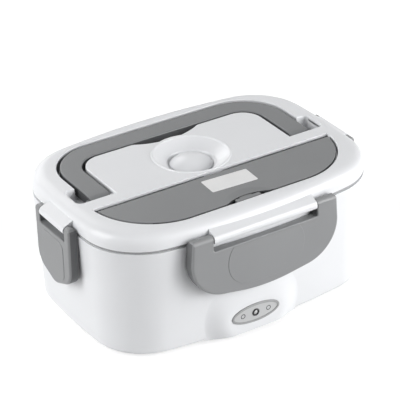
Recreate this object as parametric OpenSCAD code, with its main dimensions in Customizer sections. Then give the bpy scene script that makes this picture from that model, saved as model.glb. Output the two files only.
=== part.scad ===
// Electric lunch box: a heated base with a lift-out steel tray, and a lid held by four clips.
// The origin is under the middle of the feet, +Z is up and the front clip faces -Y.

/* [Body] */
// Length of the body at its rim, over the middle of the ends
body_l = 222.8; // [210:0.2:250]
// Depth of the body at its rim, over the middle of the sides
body_d = 158.2; // [154:0.2:180]
// Plan radius of the corners
corner_r = 44; // [38:0.5:50]
// Plan radius of the slightly bowed sides
bow_r = 500; // [420:10:2000]
// Height of the base from its underside to its rim
base_h = 82.2; // [76:0.2:110]
// How far the base walls draw in from the rim to the underside
taper = 4; // [2:0.5:6]
// Radius round the underside
under_r = 4; // [2:0.5:6]
// Wall of the base shell
shell_t = 2.4; // [1.8:0.1:3]
// Height of the rubber feet below the underside
foot_h = 2.4; // [1.5:0.1:5]
// Diameter of a rubber foot
foot_d = 13; // [8:0.5:16]

/* [Lid] */
// Height of the seal band that shows between base and lid
seal_h = 2.4; // [1.6:0.1:4]
// Height of the lid above the seal
lid_h = 11.8; // [11.6:0.1:15]
// Wall of the lid
lid_t = 2.2; // [1.6:0.1:2.6]
// Radius of the lid's upper edge
lid_edge_r = 11; // [8:0.5:11]
// Wall of the pockets that are sunk into the lid
pocket_t = 1.8; // [1.2:0.1:2.2]
// Depth of the lid's inner tub below the seal
plug_h = 13; // [12:0.5:20]

/* [Handle] */
// Half the width over the handle's arms
handle_x = 90.5; // [86:0.5:92]
// Distance from the middle to the handle's rear edge
handle_rear = 62.3; // [58:0.1:64]
// Width of the handle's bar and arms
handle_w = 14.8; // [12:0.1:17]
// Thickness of the handle
handle_t = 8.2; // [7:0.1:8.6]
// Plan radius of the handle's outer corners
handle_r = 34; // [30:0.5:38]
// Gap around the handle in its channel
handle_gap = 1.2; // [0.8:0.1:1.6]
// Diameter of a handle pin
handle_pin_d = 5; // [3:0.1:6]
// Width of the finger scallop behind the handle's bar
scallop_w = 54; // [40:1:64]
// Depth of the finger scallop
scallop_depth = 7.6; // [5:0.1:10]

/* [Cutlery cover] */
// Distance from the middle to the cover's straight rear edge
cover_rear = 21.4; // [20:0.1:24]
// Distance from the middle to the cover's front edge
cover_front = 64; // [60:0.1:65]
// Half the length of the cover at its rear edge
cover_x = 94.6; // [88:0.1:96]
// Plan radius of the cover's rounded ends
cover_r = 48; // [44:0.5:54]
// Thickness of the cover
cover_t = 2.4; // [2:0.1:3]
// Gap around the cover
cover_gap = 1.2; // [0.8:0.1:1.6]
// Diameter of the cover's hinge pins
cover_pin_d = 2.2; // [1.8:0.1:3]
// Width of the finger notch in the cover's front edge
notch_w = 36; // [24:1:44]
// Depth of the finger notch
notch_depth = 6; // [4:0.5:8]

/* [Steam vent] */
// Distance of the vent's middle behind the middle of the lid
vent_y = 10; // [6:0.5:12]
// Radius of the vent's dish at the top
dish_r = 26; // [22:0.5:27]
// Depth of the vent's dish
dish_depth = 8; // [6:0.5:9]
// Radius of the steam plug's dome
plug_dome_r = 16; // [13:0.5:17]
// Height of the plug's dome above its rim
plug_dome_h = 3.4; // [2:0.2:3.6]
// Radius of the steam hole
steam_r = 6; // [4:0.5:8]

/* [Clips] */
// Width of the front and rear clips
long_clip_w = 119; // [100:1:124]
// Width of the side clips
short_clip_w = 46; // [40:1:52]
// Width of the lips that carry the front and rear clips
long_lip_w = 83; // [70:1:90]
// Width of the lips that carry the side clips
short_lip_w = 33; // [26:1:36]
// Distance from the lid's side to the outer face of a front or rear clip
long_clip_out = 5.6; // [5.4:0.1:8]
// Distance from the lid's side to the outer face of a side clip
short_clip_out = 7.4; // [6:0.1:9]
// Height of the clips' lower edges above the base's underside
clip_low = 37; // [32:0.5:44]
// Thickness of the clips' face
clip_t = 2.2; // [1.8:0.1:2.6]
// Diameter of the bar that a clip hangs on
bar_d = 3.8; // [3:0.1:4]

/* [Tray and well] */
// Thickness of the steel tray
tray_t = 0.8; // [0.6:0.1:1.2]
// Height of the well's floor above the base's underside
well_floor = 19.6; // [18:0.2:26]
// Wall of the well
well_t = 1.8; // [1.4:0.1:2.4]
// Distance from the body's outline to the outside of the well
well_inset = 8; // [7.5:0.1:10]

/* [Heater] */
// Length of the heating plate
plate_l = 130; // [100:1:140]
// Depth of the heating plate
plate_d = 76; // [60:1:84]
// Thickness of the heating plate's rim
plate_t = 1.6; // [1.2:0.1:2.4]
// Length of the heating element
heater_l = 62; // [40:1:70]
// Width of the heating element
heater_w = 24; // [18:1:30]
// Thickness of the heating element
heater_t = 5; // [4:0.5:6]
// Thickness of the strap that holds the heating element
clamp_t = 1; // [0.8:0.1:1.5]
// Width of the strap
clamp_w = 12; // [8:1:16]

/* [Indicator and inlet] */
// Length of the oval indicator plate
oval_l = 39; // [32:0.5:44]
// Height of the oval indicator plate
oval_h = 14.5; // [12:0.5:15]
// Height of the oval's middle above the base's underside
oval_z = 14; // [12:0.5:16]
// Distance of the oval's middle to the left of the base's middle
oval_left = 6; // [0:0.5:10]
// How far the indicator's boss stands out of the base
boss_out = 3.5; // [2:0.5:4.5]
// Diameter of the indicator lamp
lamp_d = 5; // [3:0.5:6]
// Width of the power inlet's opening
inlet_w = 17; // [14:0.5:22]
// Height of the power inlet's opening
inlet_h = 8.5; // [7:0.5:9.5]
// Depth of the power inlet's opening
inlet_depth = 13; // [10:0.5:15]
// Diameter of an inlet pin
pin_d = 2.4; // [2:0.1:3]
// Distance between the middles of the two inlet pins
pin_pitch = 8.6; // [7:0.1:9.5]

/* [Clearances] */
// Gap between pieces that move past each other
run_gap = 0.5; // [0.4:0.1:0.8]
// Gap between pieces that rest on each other across a joint
seat_gap = 0.2; // [0.1:0.1:0.4]
// Gap between fixed pieces that fit into each other
fit_gap = 0.2; // [0.1:0.1:0.3]
// Radial clearance of a pin in its bore
pin_gap = 0.05; // [0.02:0.01:0.1]

/* [Hidden] */
$fn = 64;

// Steps along a quarter of the plan outline: half an end, a corner and half a side
end_steps = 3;
corner_steps = 12;
side_steps = 5;
slice = 0.01;
big = 400;

// The plan outline is made of large arcs round bow_end and bow_side and an arc round corner_mid
bow_end = [body_l / 2 - bow_r, 0];
bow_side = [0, body_d / 2 - bow_r];
corner_way = [-bow_side[1], -bow_end[0]] / norm(bow_side - bow_end);
corner_reach = sqrt(pow(bow_r - corner_r, 2) - pow(norm(bow_side - bow_end) / 2, 2));
corner_mid = (bow_end + bow_side) / 2 + corner_way * corner_reach;
end_angle = atan2(corner_mid[1], corner_mid[0] - bow_end[0]);
side_angle = atan2(corner_mid[1] - bow_side[1], corner_mid[0]);

// Heights
under_z = foot_h;
rim_z = under_z + base_h;
seam_z = rim_z + seal_h;
top_z = seam_z + lid_h;

// Pocket walls end inside the lid's skin
skin_z = top_z - lid_t + 0.7;

// Insets of the rim's layers from the body's outline
seal_out = 0.8;
well_in = well_inset + well_t;
tray_out = well_in + 1.4;
plug_out = tray_out + tray_t + 1.5;
seal_in = plug_out - fit_gap;
liner_t = 1.6;
plug_low = seam_z - plug_h;
ledge_z = rim_z - 3.4;
flange_t = 2;
tray_rim_t = 1;

// Handle
surface_gap = 0.15;
pivot_y = -1.2;
handle_end_r = 5.8;
arm_step = 0.5;
pivot_z = top_z - surface_gap - 0.3 - handle_end_r;
bar_front_y = pivot_y - handle_end_r - run_gap;
handle_low = top_z - surface_gap - handle_t;
channel_z = handle_low - 0.8;
arm_well_z = pivot_z - handle_end_r - 0.8;
arm_mid = handle_x - handle_w / 2;
pit_w = 10;
pit_rear = 12;
pit_r = 3;
pin_in = 8;

// Cutlery recess
knuckle_r = 2.2;
hinge_z = top_z - surface_gap - 0.2 - knuckle_r;
hinge_y = -(cover_rear + knuckle_r);
recess_rear = hinge_y + knuckle_r + 0.7;
cover_low = top_z - surface_gap - cover_t;
ledge_gap = 0.8;
cover_ledge_z = cover_low - ledge_gap;
cutlery_shrink = 5.5;
cutlery_z = plug_low + liner_t + 1 + pocket_t;
cutlery_t = 1.6;
cutlery_y = -(cover_front - 24);
bowl_l = 36;
bowl_w = 22;
bowl_r = 26;
bowl_x = -57;
fork_l = 36;
fork_w = 17;
fork_x = 56;
tine_pitch = 4.4;
tine_gap = 2;
pin_reach = 3;

// Steam vent
dish_floor_z = top_z - dish_depth;
dish_low_r = plug_dome_r + 1;
rim_bead = 1;
tube_t = 1.6;
plug_rim_h = 1;
plug_stem_h = 6;

// Clips: the bar's middle lies bar_in behind the outer face
bar_in = 3.7;
lip_t = 1.5;
bar_r = bar_d / 2;
bar_bore_r = bar_in - lip_t;
bar_z = seam_z + 0.6;
horn_r = 3.4;
slot_low = 8.4;
long_reach = body_d / 2 + long_clip_out - bar_in;
short_reach = body_l / 2 + short_clip_out - bar_in;
clip_gap = 0.6;
catch_top = rim_z - 7.6;
catch_h = 3;
catch_gap = 0.3;
catch_share = 0.84;
catch_in = 0.6;

// Base
cover_plate_t = 2.4;
floor_z = under_z + well_floor;
bay_z = floor_z - flange_t;
panel_t = 1.6;
panel_sink = 1;
boss_rim = 5;
boss_foot = 14;
boss_lift = 0.5;
oval_mid = under_z + oval_z;
base_front = body_d / 2 - taper * (1 - oval_z / base_h);
boss_y = -(base_front + boss_out);
inlet_z = 10.6;
inlet_mid = under_z + inlet_z;
inlet_wall = 2;
inlet_r = 3;
inlet_outer_w = inlet_w + 2 * inlet_wall;
inlet_outer_h = inlet_h + 2 * inlet_wall;
inlet_border = 4;
pad_border = 4;
pad_out = 2;
pad_y = body_d / 2 - taper * (1 - inlet_z / base_h) + pad_out;
flange_out = 1.4;
inlet_back = pad_y - inlet_depth - inlet_wall;
pin_sink = 2;
pin_tail_y = inlet_back - 1;
screw_x = 80;
screw_y = 34;
screw_r = 1.5;
head_r = 2.9;
head_h = 1;
head_sink = 1.2;
screw_l = 10;
post_r = 4;
foot_x = 74;
foot_y = 49;
foot_sink = 1;
under_opening = taper + 8;
under_step = 3;
tray_r = 8;
plate_boss_h = 4;
plate_step = 5;
plate_r = 18;
heater_z = floor_z - plate_boss_h;
boss_low = heater_z - heater_t;
clamp_x = heater_l / 2 + 8;
clamp_end = 5;
clamp_boss_r = 3.5;

// Electrics in the base
thermostat_x = -20;
thermostat_y = heater_w / 2 + 10;
thermostat_r = 7;
thermostat_h = 6;
terminal_x = 4;
terminal_h = 2;
fuse_x = 10;
fuse_l = 12;
fuse_r = 2;
wire_r = 0.9;
wire_bend = 6;
wire_turn = 14;
heater_lead = 10;
lamp_lead = 6;
wire_z = heater_z - 7;
lamp_wire_r = 0.7;
board_y = boss_y + 11;
board_l = 28;
board_t = 1.6;

// ---- Shared shapes ----

function arc(mid, r, a0, a1, steps) =
    [for (i = [0:steps - 1]) let (a = a0 + (a1 - a0) * i / steps) mid + r * [cos(a), sin(a)]];

// A quarter of the plan outline, grown outwards by grow, without its last point
function quarter(grow) = concat(
    arc(bow_end, bow_r + grow, 0, end_angle, end_steps),
    arc(corner_mid, corner_r + grow, end_angle, side_angle, corner_steps),
    arc(bow_side, bow_r + grow, side_angle, 90, side_steps));

function outline_points(grow) =
    let (q = quarter(grow), n = len(q), x = body_l / 2 + grow, y = body_d / 2 + grow)
    concat(q, [[0, y]], [for (i = [n - 1:-1:1]) [-q[i][0], q[i][1]]],
        [[-x, 0]], [for (i = [1:n - 1]) -q[i]],
        [[0, -y]], [for (i = [n - 1:-1:1]) [q[i][0], -q[i][1]]]);

// Plan outline of lid and base, grown outwards by grow
module outline(grow = 0) {
    polygon(outline_points(grow));
}

module prism(z0, z1, grow = 0) {
    translate([0, 0, z0]) linear_extrude(z1 - z0) outline(grow);
}

// Closed solid through rings of equally many points, each ring turning left about the way ahead
module through_rings(rings) {
    n = len(rings[0]);
    last = (len(rings) - 1) * n;
    polyhedron(
        points = [for (ring = rings) each ring],
        faces = concat(
            [[for (i = [0:n - 1]) i]],
            [[for (i = [n - 1:-1:0]) last + i]],
            [for (k = [0:n:last - 1], i = [0:n - 1])
                let (j = (i + 1) % n) [k + i, k + n + i, k + n + j, k + j]]));
}

// Solid through plan outlines given as [height, growth] pairs, lowest first
module loft(levels) {
    through_rings([for (v = levels) [for (p = outline_points(v[1])) [p[0], p[1], v[0]]]]);
}

// The lid's outer form, set in by inset, standing on z0
module lid_form(inset, z0) {
    round_z = top_z - lid_edge_r;
    r = lid_edge_r - inset;
    loft(concat([[z0, -inset]],
        [for (a = [0:18:90]) [round_z + r * sin(a), -inset - r * (1 - cos(a))]]));
}

module block(x0, x1, y0, y1, z0, z1) {
    translate([x0, y0, z0]) cube([x1 - x0, y1 - y0, z1 - z0]);
}

// Rectangle round the middle with rounded corners
module round_rect(l, w, r) {
    square([l - 2 * r, w], center = true);
    square([l, w - 2 * r], center = true);
    for (x = [-1, 1], y = [-1, 1]) translate([x * (l / 2 - r), y * (w / 2 - r)]) circle(r);
}

// Cylinder along X from x0 to x1
module rod_x(r, x0, x1, y, z) {
    translate([x0, y, z]) rotate([0, 90, 0]) cylinder(r = r, h = x1 - x0);
}

// Wire of radius r swept through points, none of them straight above the next
module wire(points, r) {
    sides = 10;
    last = len(points) - 1;
    through_rings([for (i = [0:last])
        let (way = points[min(i + 1, last)] - points[max(i - 1, 0)],
            across = cross(way, [0, 0, 1]) / norm(cross(way, [0, 0, 1])),
            up = cross(way, across) / norm(way))
        [for (k = [0:sides - 1])
            points[i] + r * (cos(360 * k / sides) * across + sin(360 * k / sides) * up)]]);
}

// ---- Handle ----

// Area in front of a rear edge at y with rounded rear corners
module rear_round(x, y, r, y0) {
    translate([-x, y0]) square([2 * x, y - r - y0]);
    translate([-(x - r), y0]) square([2 * (x - r), y - y0]);
    intersection() {
        for (s = [-1, 1]) translate([s * (x - r), y - r]) circle(r, $fn = 96);
        translate([-big / 2, y0 + 1]) square([big, big]);
    }
}

module handle_plan(grow, y0) {
    difference() {
        rear_round(handle_x + grow, handle_rear + grow, handle_r + grow, y0);
        rear_round(handle_x - handle_w - grow, handle_rear - handle_w - grow,
            handle_r - handle_w - grow, y0 - 1);
    }
}

module scallop(grow = 0) {
    r = (scallop_w * scallop_w / 4 + scallop_depth * scallop_depth) / (2 * scallop_depth);
    edge = handle_rear - handle_w - handle_gap;
    intersection() {
        translate([0, edge - scallop_depth + r]) circle(r + grow, $fn = 180);
        translate([-scallop_w / 2 - grow, edge - scallop_depth - grow])
            square([scallop_w + 2 * grow, scallop_depth + grow + 1]);
    }
}

// Channel of the handle with the pits beside its arm ends
module channel_plan(grow = 0) {
    handle_plan(handle_gap + grow, bar_front_y - grow);
    scallop(grow);
    for (s = [-1, 1])
        translate([s * (handle_x + pit_w / 2 - pit_r / 2), (bar_front_y + pit_rear) / 2])
            round_rect(pit_w + pit_r + 2 * grow, pit_rear - bar_front_y + 2 * grow, pit_r + grow);
}

// Deeper wells for the round ends of the arms
module arm_wells(grow = 0) {
    wide = handle_w + 2 * handle_gap + 2 * grow;
    rear_y = pivot_y + handle_end_r + run_gap;
    for (s = [-1, 1])
        translate([s * arm_mid - wide / 2, bar_front_y - grow])
            square([wide, rear_y - bar_front_y + 2 * grow]);
}

module carry_handle() {
    color([0.52, 0.53, 0.54])
        difference() {
            union() {
                translate([0, 0, handle_low]) linear_extrude(handle_t)
                    handle_plan(0, pivot_y + arm_step);
                for (s = [-1, 1])
                    rod_x(handle_end_r, s * arm_mid - handle_w / 2 + 0.2,
                        s * arm_mid + handle_w / 2 - 0.2, pivot_y, pivot_z);
            }
            rod_x(handle_pin_d / 2 + pin_gap, -big / 2, big / 2, pivot_y, pivot_z);
        }
}

module handle_pins() {
    inner = handle_x - handle_w - handle_gap - pin_in;
    color([0.75, 0.76, 0.78])
        for (s = [-1, 1])
            rod_x(handle_pin_d / 2, s > 0 ? inner : -handle_x, s > 0 ? handle_x : -inner,
                pivot_y, pivot_z);
}

// ---- Cutlery cover ----

module d_plan(grow, rear) {
    end_x = cover_x - cover_r + 0.4;
    mid_y = -(cover_front - cover_r);
    intersection() {
        union() {
            for (s = [-1, 1])
                translate([s * end_x, mid_y]) circle(cover_r + grow, $fn = 144);
            translate([-end_x, mid_y - cover_r - grow]) square([2 * end_x, 2 * (cover_r + grow)]);
        }
        translate([-big / 2, rear - big]) square([big, big]);
    }
}

module cutlery_cover() {
    notch_r = (notch_w * notch_w / 4 + notch_depth * notch_depth) / (2 * notch_depth);
    dish_ball = 100;
    dish_sink = 1.4;
    tab_w = 20;
    color([0.52, 0.53, 0.54]) {
        difference() {
            union() {
                translate([0, 0, cover_low]) linear_extrude(cover_t) d_plan(0, hinge_y);
                rod_x(knuckle_r, -cover_x + 0.2, cover_x - 0.2, hinge_y, hinge_z);
            }
            translate([0, -(cover_front - notch_depth + notch_r), cover_low - 1])
                cylinder(r = notch_r, h = big / 8, $fn = 144);
            translate([0, -(cover_front - notch_depth), top_z - dish_sink + dish_ball])
                sphere(dish_ball, $fn = 180);
        }
        block(-tab_w / 2, tab_w / 2, -cover_front, -(cover_front - notch_depth - 1),
            cover_low, cover_low + cover_t / 2);
        for (s = [-1, 1])
            rod_x(cover_pin_d / 2, s > 0 ? cover_x - 5 : -cover_x - pin_reach,
                s > 0 ? cover_x + pin_reach : -cover_x + 5, hinge_y, hinge_z);
    }
}

module spoon() {
    handle_drop = 4;
    color([0.78, 0.79, 0.8]) {
        translate([bowl_x, cutlery_y - 0.5, cutlery_z])
            intersection() {
                difference() {
                    translate([0, 0, bowl_r]) sphere(bowl_r, $fn = 64);
                    translate([0, 0, bowl_r + 1]) sphere(bowl_r, $fn = 64);
                }
                linear_extrude(6) round_rect(bowl_l, bowl_w, 10);
            }
        translate([0, cutlery_y - 0.5, cutlery_z + 2]) linear_extrude(cutlery_t)
            hull() {
                translate([bowl_x + bowl_l / 2 - 3, 0]) circle(3);
                translate([-bowl_x - 17, handle_drop]) circle(5);
            }
    }
}

module fork() {
    color([0.78, 0.79, 0.8])
        translate([0, cutlery_y, cutlery_z + 0.2]) linear_extrude(cutlery_t)
            difference() {
                union() {
                    translate([fork_x, 0]) round_rect(fork_l, fork_w, 6);
                    hull() {
                        translate([fork_x - fork_l / 2 + 2, 0]) circle(3);
                        translate([-fork_x + 16, -6]) circle(5);
                    }
                }
                for (i = [-1:1])
                    translate([fork_x - 4, i * tine_pitch - tine_gap / 2])
                        square([big / 10, tine_gap]);
            }
}

// ---- Steam vent ----

module steam_plug() {
    ball = (plug_dome_r * plug_dome_r + plug_dome_h * plug_dome_h) / (2 * plug_dome_h);
    stem_r = steam_r - 0.3;
    color([0.9, 0.9, 0.91])
        translate([0, vent_y, dish_floor_z + seat_gap])
            rotate_extrude($fn = 96) {
                intersection() {
                    translate([0, plug_dome_h - ball + plug_rim_h]) circle(ball, $fn = 180);
                    square([plug_dome_r, plug_dome_h + plug_rim_h]);
                }
                translate([0, -plug_stem_h]) square([stem_r, plug_stem_h + plug_rim_h / 2]);
            }
}

// ---- Lid ----

// Lip that a clip hangs on, and the bore for the clip's bar
module lip(reach, width) {
    difference() {
        hull() {
            rod_x(bar_in, -width / 2, width / 2, -reach, bar_z);
            block(-width / 2, width / 2, -reach + bar_in + 5, -reach + bar_in + 7,
                seam_z + 1, top_z - 2.6);
        }
        block(-width, width, -reach - bar_bore_r + 0.5, -reach + bar_bore_r + 10,
            0, seam_z);
        rod_x(bar_bore_r, -width, width, -reach, bar_z);
        block(-width, width, -reach - bar_bore_r + 0.5, -reach + bar_bore_r - 0.5,
            0, bar_z);
    }
}

// Where the four clips sit: quarter turns with their reach
module round_the_lid() {
    for (a = [0, 180]) rotate(a) {
        $reach = long_reach;
        $lip_w = long_lip_w;
        children();
    }
    for (a = [90, 270]) rotate(a) {
        $reach = short_reach;
        $lip_w = short_lip_w;
        children();
    }
}

module vent_wall() {
    translate([0, vent_y, 0])
        rotate_extrude($fn = 96) {
            polygon([[0, dish_floor_z - pocket_t], [dish_low_r + pocket_t, dish_floor_z - pocket_t],
                [dish_r + pocket_t, skin_z], [0, skin_z]]);
            translate([0, plug_low]) square([steam_r + tube_t, dish_floor_z - plug_low]);
        }
}

module vent_cut() {
    translate([0, vent_y, 0])
        rotate_extrude($fn = 96) {
            polygon([[0, dish_floor_z], [dish_low_r, dish_floor_z],
                [dish_r, top_z + rim_bead], [dish_r, big / 2], [0, big / 2]]);
            square([steam_r, big / 2]);
        }
}

// Wall of a pocket, from z0 up into the lid's skin
module wall_prism(z0) {
    translate([0, 0, z0]) linear_extrude(skin_z - z0) children();
}

module pocket_walls() {
    wall_prism(channel_z - pocket_t) channel_plan(pocket_t);
    wall_prism(arm_well_z - pocket_t) arm_wells(pocket_t);
    wall_prism(hinge_z - knuckle_r - 0.7 - pocket_t)
        d_plan(cover_gap + pocket_t, recess_rear + pocket_t);
    wall_prism(cutlery_z - pocket_t)
        d_plan(pocket_t - cutlery_shrink, hinge_y - cutlery_shrink + pocket_t);
    for (s = [-1, 1]) {
        pin_x = handle_x - handle_w - handle_gap - pin_in / 2;
        block(s * pin_x - pin_in / 2 - 1, s * pin_x + pin_in / 2, pivot_y - 5, pivot_y + 5,
            pivot_z - 5, skin_z);
        end_x = cover_x + cover_gap + pin_reach / 2 + 1;
        block(s * end_x - 3, s * end_x + 3, hinge_y - 3, recess_rear, hinge_z - 3, skin_z);
    }
    vent_wall();
}

module pockets() {
    translate([0, 0, channel_z]) linear_extrude(big / 8) channel_plan();
    translate([0, 0, arm_well_z]) linear_extrude(big / 8) arm_wells();
    translate([0, 0, cover_ledge_z]) linear_extrude(big / 8) d_plan(cover_gap, recess_rear);
    intersection() {
        translate([0, 0, hinge_z - knuckle_r - 0.7]) linear_extrude(big / 8)
            d_plan(cover_gap, recess_rear);
        block(-big, big, hinge_y - knuckle_r - 1, big, 0, big);
    }
    translate([0, 0, cutlery_z]) linear_extrude(big / 8)
        d_plan(-cutlery_shrink, hinge_y - cutlery_shrink);
    for (s = [-1, 1]) {
        inner = handle_x - handle_w - handle_gap - pin_in;
        rod_x(handle_pin_d / 2, s > 0 ? inner : -handle_x, s > 0 ? handle_x : -inner,
            pivot_y, pivot_z);
        reach = cover_x + pin_reach + 0.3;
        rod_x(cover_pin_d / 2 + pin_gap, s > 0 ? cover_x - 3 : -reach,
            s > 0 ? reach : -cover_x + 3, hinge_y, hinge_z);
    }
    vent_cut();
}

module lid_cover() {
    color([0.95, 0.95, 0.96])
        difference() {
            union() {
                difference() {
                    union() {
                        lid_form(0, seam_z);
                        round_the_lid() lip($reach, $lip_w);
                    }
                    lid_form(lid_t, seam_z - 1);
                }
                pocket_walls();
                translate([0, vent_y, top_z - 0.4]) rotate_extrude($fn = 96)
                    translate([dish_r + 0.6, 0]) circle(rim_bead, $fn = 24);
            }
            round_the_lid() rod_x(bar_bore_r, -$lip_w / 2 - 1, $lip_w / 2 + 1, -$reach, bar_z);
            pockets();
        }
}

module lid_liner() {
    color([0.9, 0.91, 0.92])
        difference() {
            union() {
                prism(seam_z, seam_z + liner_t, -lid_t - fit_gap);
                prism(plug_low, seam_z + liner_t, -plug_out);
            }
            prism(plug_low + liner_t, seam_z + 10, -plug_out - liner_t);
            translate([0, 0, channel_z - pocket_t - fit_gap]) linear_extrude(20)
                channel_plan(pocket_t + fit_gap);
            translate([0, vent_y, 0]) cylinder(r = steam_r + tube_t + fit_gap, h = big);
        }
}

module lid_seal() {
    color([0.62, 0.63, 0.64])
        difference() {
            prism(rim_z + seat_gap, seam_z, -seal_out);
            prism(rim_z, seam_z + 1, -seal_in);
        }
}

// ---- Clips ----

// Face of a clip seen from outside: straight top, round lower corners, full lower edge
module clip_face(width, low, grow = 0) {
    r = min(28, width * 0.3);
    top_in = 2;
    belly = 3.6;
    belly_x = width / 2 - r;
    belly_r = (belly_x * belly_x + belly * belly) / (2 * belly);
    mid_z = low + belly + r;
    hull() {
        for (s = [-1, 1]) translate([s * (width / 2 - r), mid_z]) circle(r + grow, $fn = 96);
        translate([-width / 2 + top_in - grow, bar_z]) square([width - 2 * top_in + 2 * grow, 5]);
        intersection() {
            translate([0, low + belly_r]) circle(belly_r + grow, $fn = 180);
            translate([-belly_x, low - grow]) square([2 * belly_x, belly]);
        }
    }
}

module clip_solid(reach, width, lip_w) {
    face = reach + bar_in;
    low = under_z + clip_low;
    window = lip_w / 2 + run_gap;
    tooth = catch_top - catch_h - catch_gap;
    difference() {
        intersection() {
            translate([0, -face + 14, 0]) rotate([90, 0, 0]) linear_extrude(14)
                clip_face(width, low);
            union() {
                block(-width, width, -face, -face + 14, 0, bar_z);
                rod_x(horn_r, -width, width, -reach, bar_z);
            }
        }
        translate([0, -face + 20, 0]) rotate([90, 0, 0]) linear_extrude(20 - clip_t)
            intersection() {
                clip_face(width, low, -clip_t);
                translate([-width, 0]) square([2 * width, bar_z - slot_low - clip_t]);
            }
        block(-window, window, -face - 1, -face + 20, bar_z - slot_low, big / 2);
    }
    rod_x(bar_r, -window - 1, window + 1, -reach, bar_z);
    block(-lip_w * 0.4, lip_w * 0.4, -face + clip_t / 2, -reach + catch_in - catch_gap,
        tooth - catch_h, tooth);
}

// The clip's rim stops short of the base, seal and lid
module clip_clearance() {
    prism(0, seam_z, clip_gap);
    prism(seam_z - 1, top_z + 5, run_gap);
}

module clip(angle, reach, width, lip_w) {
    color([0.6, 0.61, 0.62])
        difference() {
            rotate(angle) clip_solid(reach, width, lip_w);
            difference() {
                clip_clearance();
                rotate(angle) rod_x(bar_r + 0.01, -width, width, -reach, bar_z);
            }
            rotate(angle)
                block(-lip_w * catch_share / 2 - run_gap, lip_w * catch_share / 2 + run_gap,
                    -reach + catch_in - catch_gap, 0, 0, catch_top + catch_gap + run_gap);
        }
}

module front_clip() { clip(0, long_reach, long_clip_w, long_lip_w); }
module rear_clip() { clip(180, long_reach, long_clip_w, long_lip_w); }
module right_clip() { clip(90, short_reach, short_clip_w, short_lip_w); }
module left_clip() { clip(270, short_reach, short_clip_w, short_lip_w); }

// ---- Base ----

module base_form() {
    mid = under_z + under_r;
    draw = taper * (1 - under_r / base_h);
    loft(concat(
        [for (a = [90:-22.5:0]) [mid - under_r * sin(a), -draw - under_r * (1 - cos(a))]],
        [[rim_z, 0]]));
}

module oval(l, h) {
    translate([-oval_left, oval_mid]) scale([l / h, 1]) circle(h / 2, $fn = 48);
}

// Front view of the boss: close round the plate above its middle, fuller below it
module boss_plan(grow) {
    low = under_z + boss_lift;
    intersection() {
        oval(oval_l + grow, oval_h + grow);
        translate([-big / 2, oval_mid - slice]) square([big, big]);
    }
    intersection() {
        oval(oval_l + grow, 2 * oval_z + 3 * grow);
        translate([-big / 2, low]) square([big, oval_mid - low]);
    }
}

module front_boss() {
    hull() {
        translate([0, boss_y + slice, 0]) rotate([90, 0, 0]) linear_extrude(slice)
            boss_plan(boss_rim);
        translate([0, -base_front + 2, 0]) rotate([90, 0, 0]) linear_extrude(slice)
            boss_plan(boss_foot);
    }
}

// Flat-faced shape through the front or rear wall, from y0 to y1
module wall_slot(l, h, z, r, y0, y1) {
    translate([0, y1, z]) rotate([90, 0, 0]) linear_extrude(y1 - y0) round_rect(l, h, r);
}

// Ledge on the base that a clip's tooth snaps under
module catch_ledge(reach, width) {
    block(-width / 2, width / 2, -reach + catch_in, -reach + 8, catch_top - catch_h, catch_top);
}

module base_shell() {
    color([0.95, 0.95, 0.96])
        difference() {
            union() {
                base_form();
                front_boss();
                wall_slot(inlet_outer_w + 2 * pad_border + 2, inlet_outer_h + pad_border, inlet_mid, inlet_r,
                    body_d / 2 - 14, pad_y);
                round_the_lid() catch_ledge($reach, $lip_w * catch_share);
            }
            prism(under_z + cover_plate_t, rim_z, -taper - shell_t);
            prism(ledge_z, rim_z + 1, -shell_t);
            prism(0, under_z + 5, -under_opening);
            prism(0, under_z + cover_plate_t / 2 + fit_gap, -under_opening + under_step);
            translate([0, boss_y + panel_sink, 0]) rotate([90, 0, 0]) linear_extrude(20)
                oval(oval_l + 2 * fit_gap, oval_h + 2 * fit_gap);
            translate([-oval_left, 0, oval_mid]) rotate([90, 0, 0])
                cylinder(r = lamp_d / 2 + 2, h = big / 2);
            wall_slot(inlet_outer_w + 2 * fit_gap, inlet_outer_h + 2 * fit_gap,
                inlet_mid, inlet_r, body_d / 2 - 20, big / 2);
        }
}

// Plan of the plate's raised underside, which fits through the well's floor
module plate_boss_plan(grow = 0) {
    round_rect(plate_l - 2 * plate_step + 2 * grow, plate_d - 2 * plate_step + 2 * grow,
        plate_r - 4);
}

module well_liner() {
    color([0.88, 0.88, 0.88])
        difference() {
            union() {
                prism(ledge_z, ledge_z + flange_t, -shell_t - fit_gap);
                prism(bay_z, ledge_z + flange_t, -well_inset);
                for (x = [-1, 1], y = [-1, 1])
                    translate([x * screw_x, y * screw_y, under_z + cover_plate_t])
                        cylinder(r = post_r, h = bay_z - under_z);
            }
            prism(floor_z, rim_z + 1, -well_in);
            translate([0, 0, bay_z - 1]) linear_extrude(flange_t + 2)
                plate_boss_plan(fit_gap);
            for (x = [-1, 1], y = [-1, 1])
                translate([x * screw_x, y * screw_y, 0]) cylinder(r = screw_r, h = bay_z - 1);
        }
}

module food_container() {
    low = floor_z + plate_t + seat_gap;
    rim_low = ledge_z + flange_t + seat_gap;
    color([0.8, 0.81, 0.82])
        difference() {
            union() {
                tray_form(low, rim_low + tray_rim_t, 0);
                prism(rim_low, rim_low + tray_rim_t, -shell_t - 2);
            }
            tray_form(low, rim_low + tray_rim_t + 1, tray_t);
        }
}

// The tray's form from its floor at low up to high, set in by inset
module tray_form(low, high, inset) {
    r = tray_r - inset;
    loft(concat(
        [for (a = [90:-30:0])
            [low + inset + r * (1 - sin(a)), -tray_out - inset - r * (1 - cos(a))]],
        [[high, -tray_out - inset]]));
}

// ---- Heater ----

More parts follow.
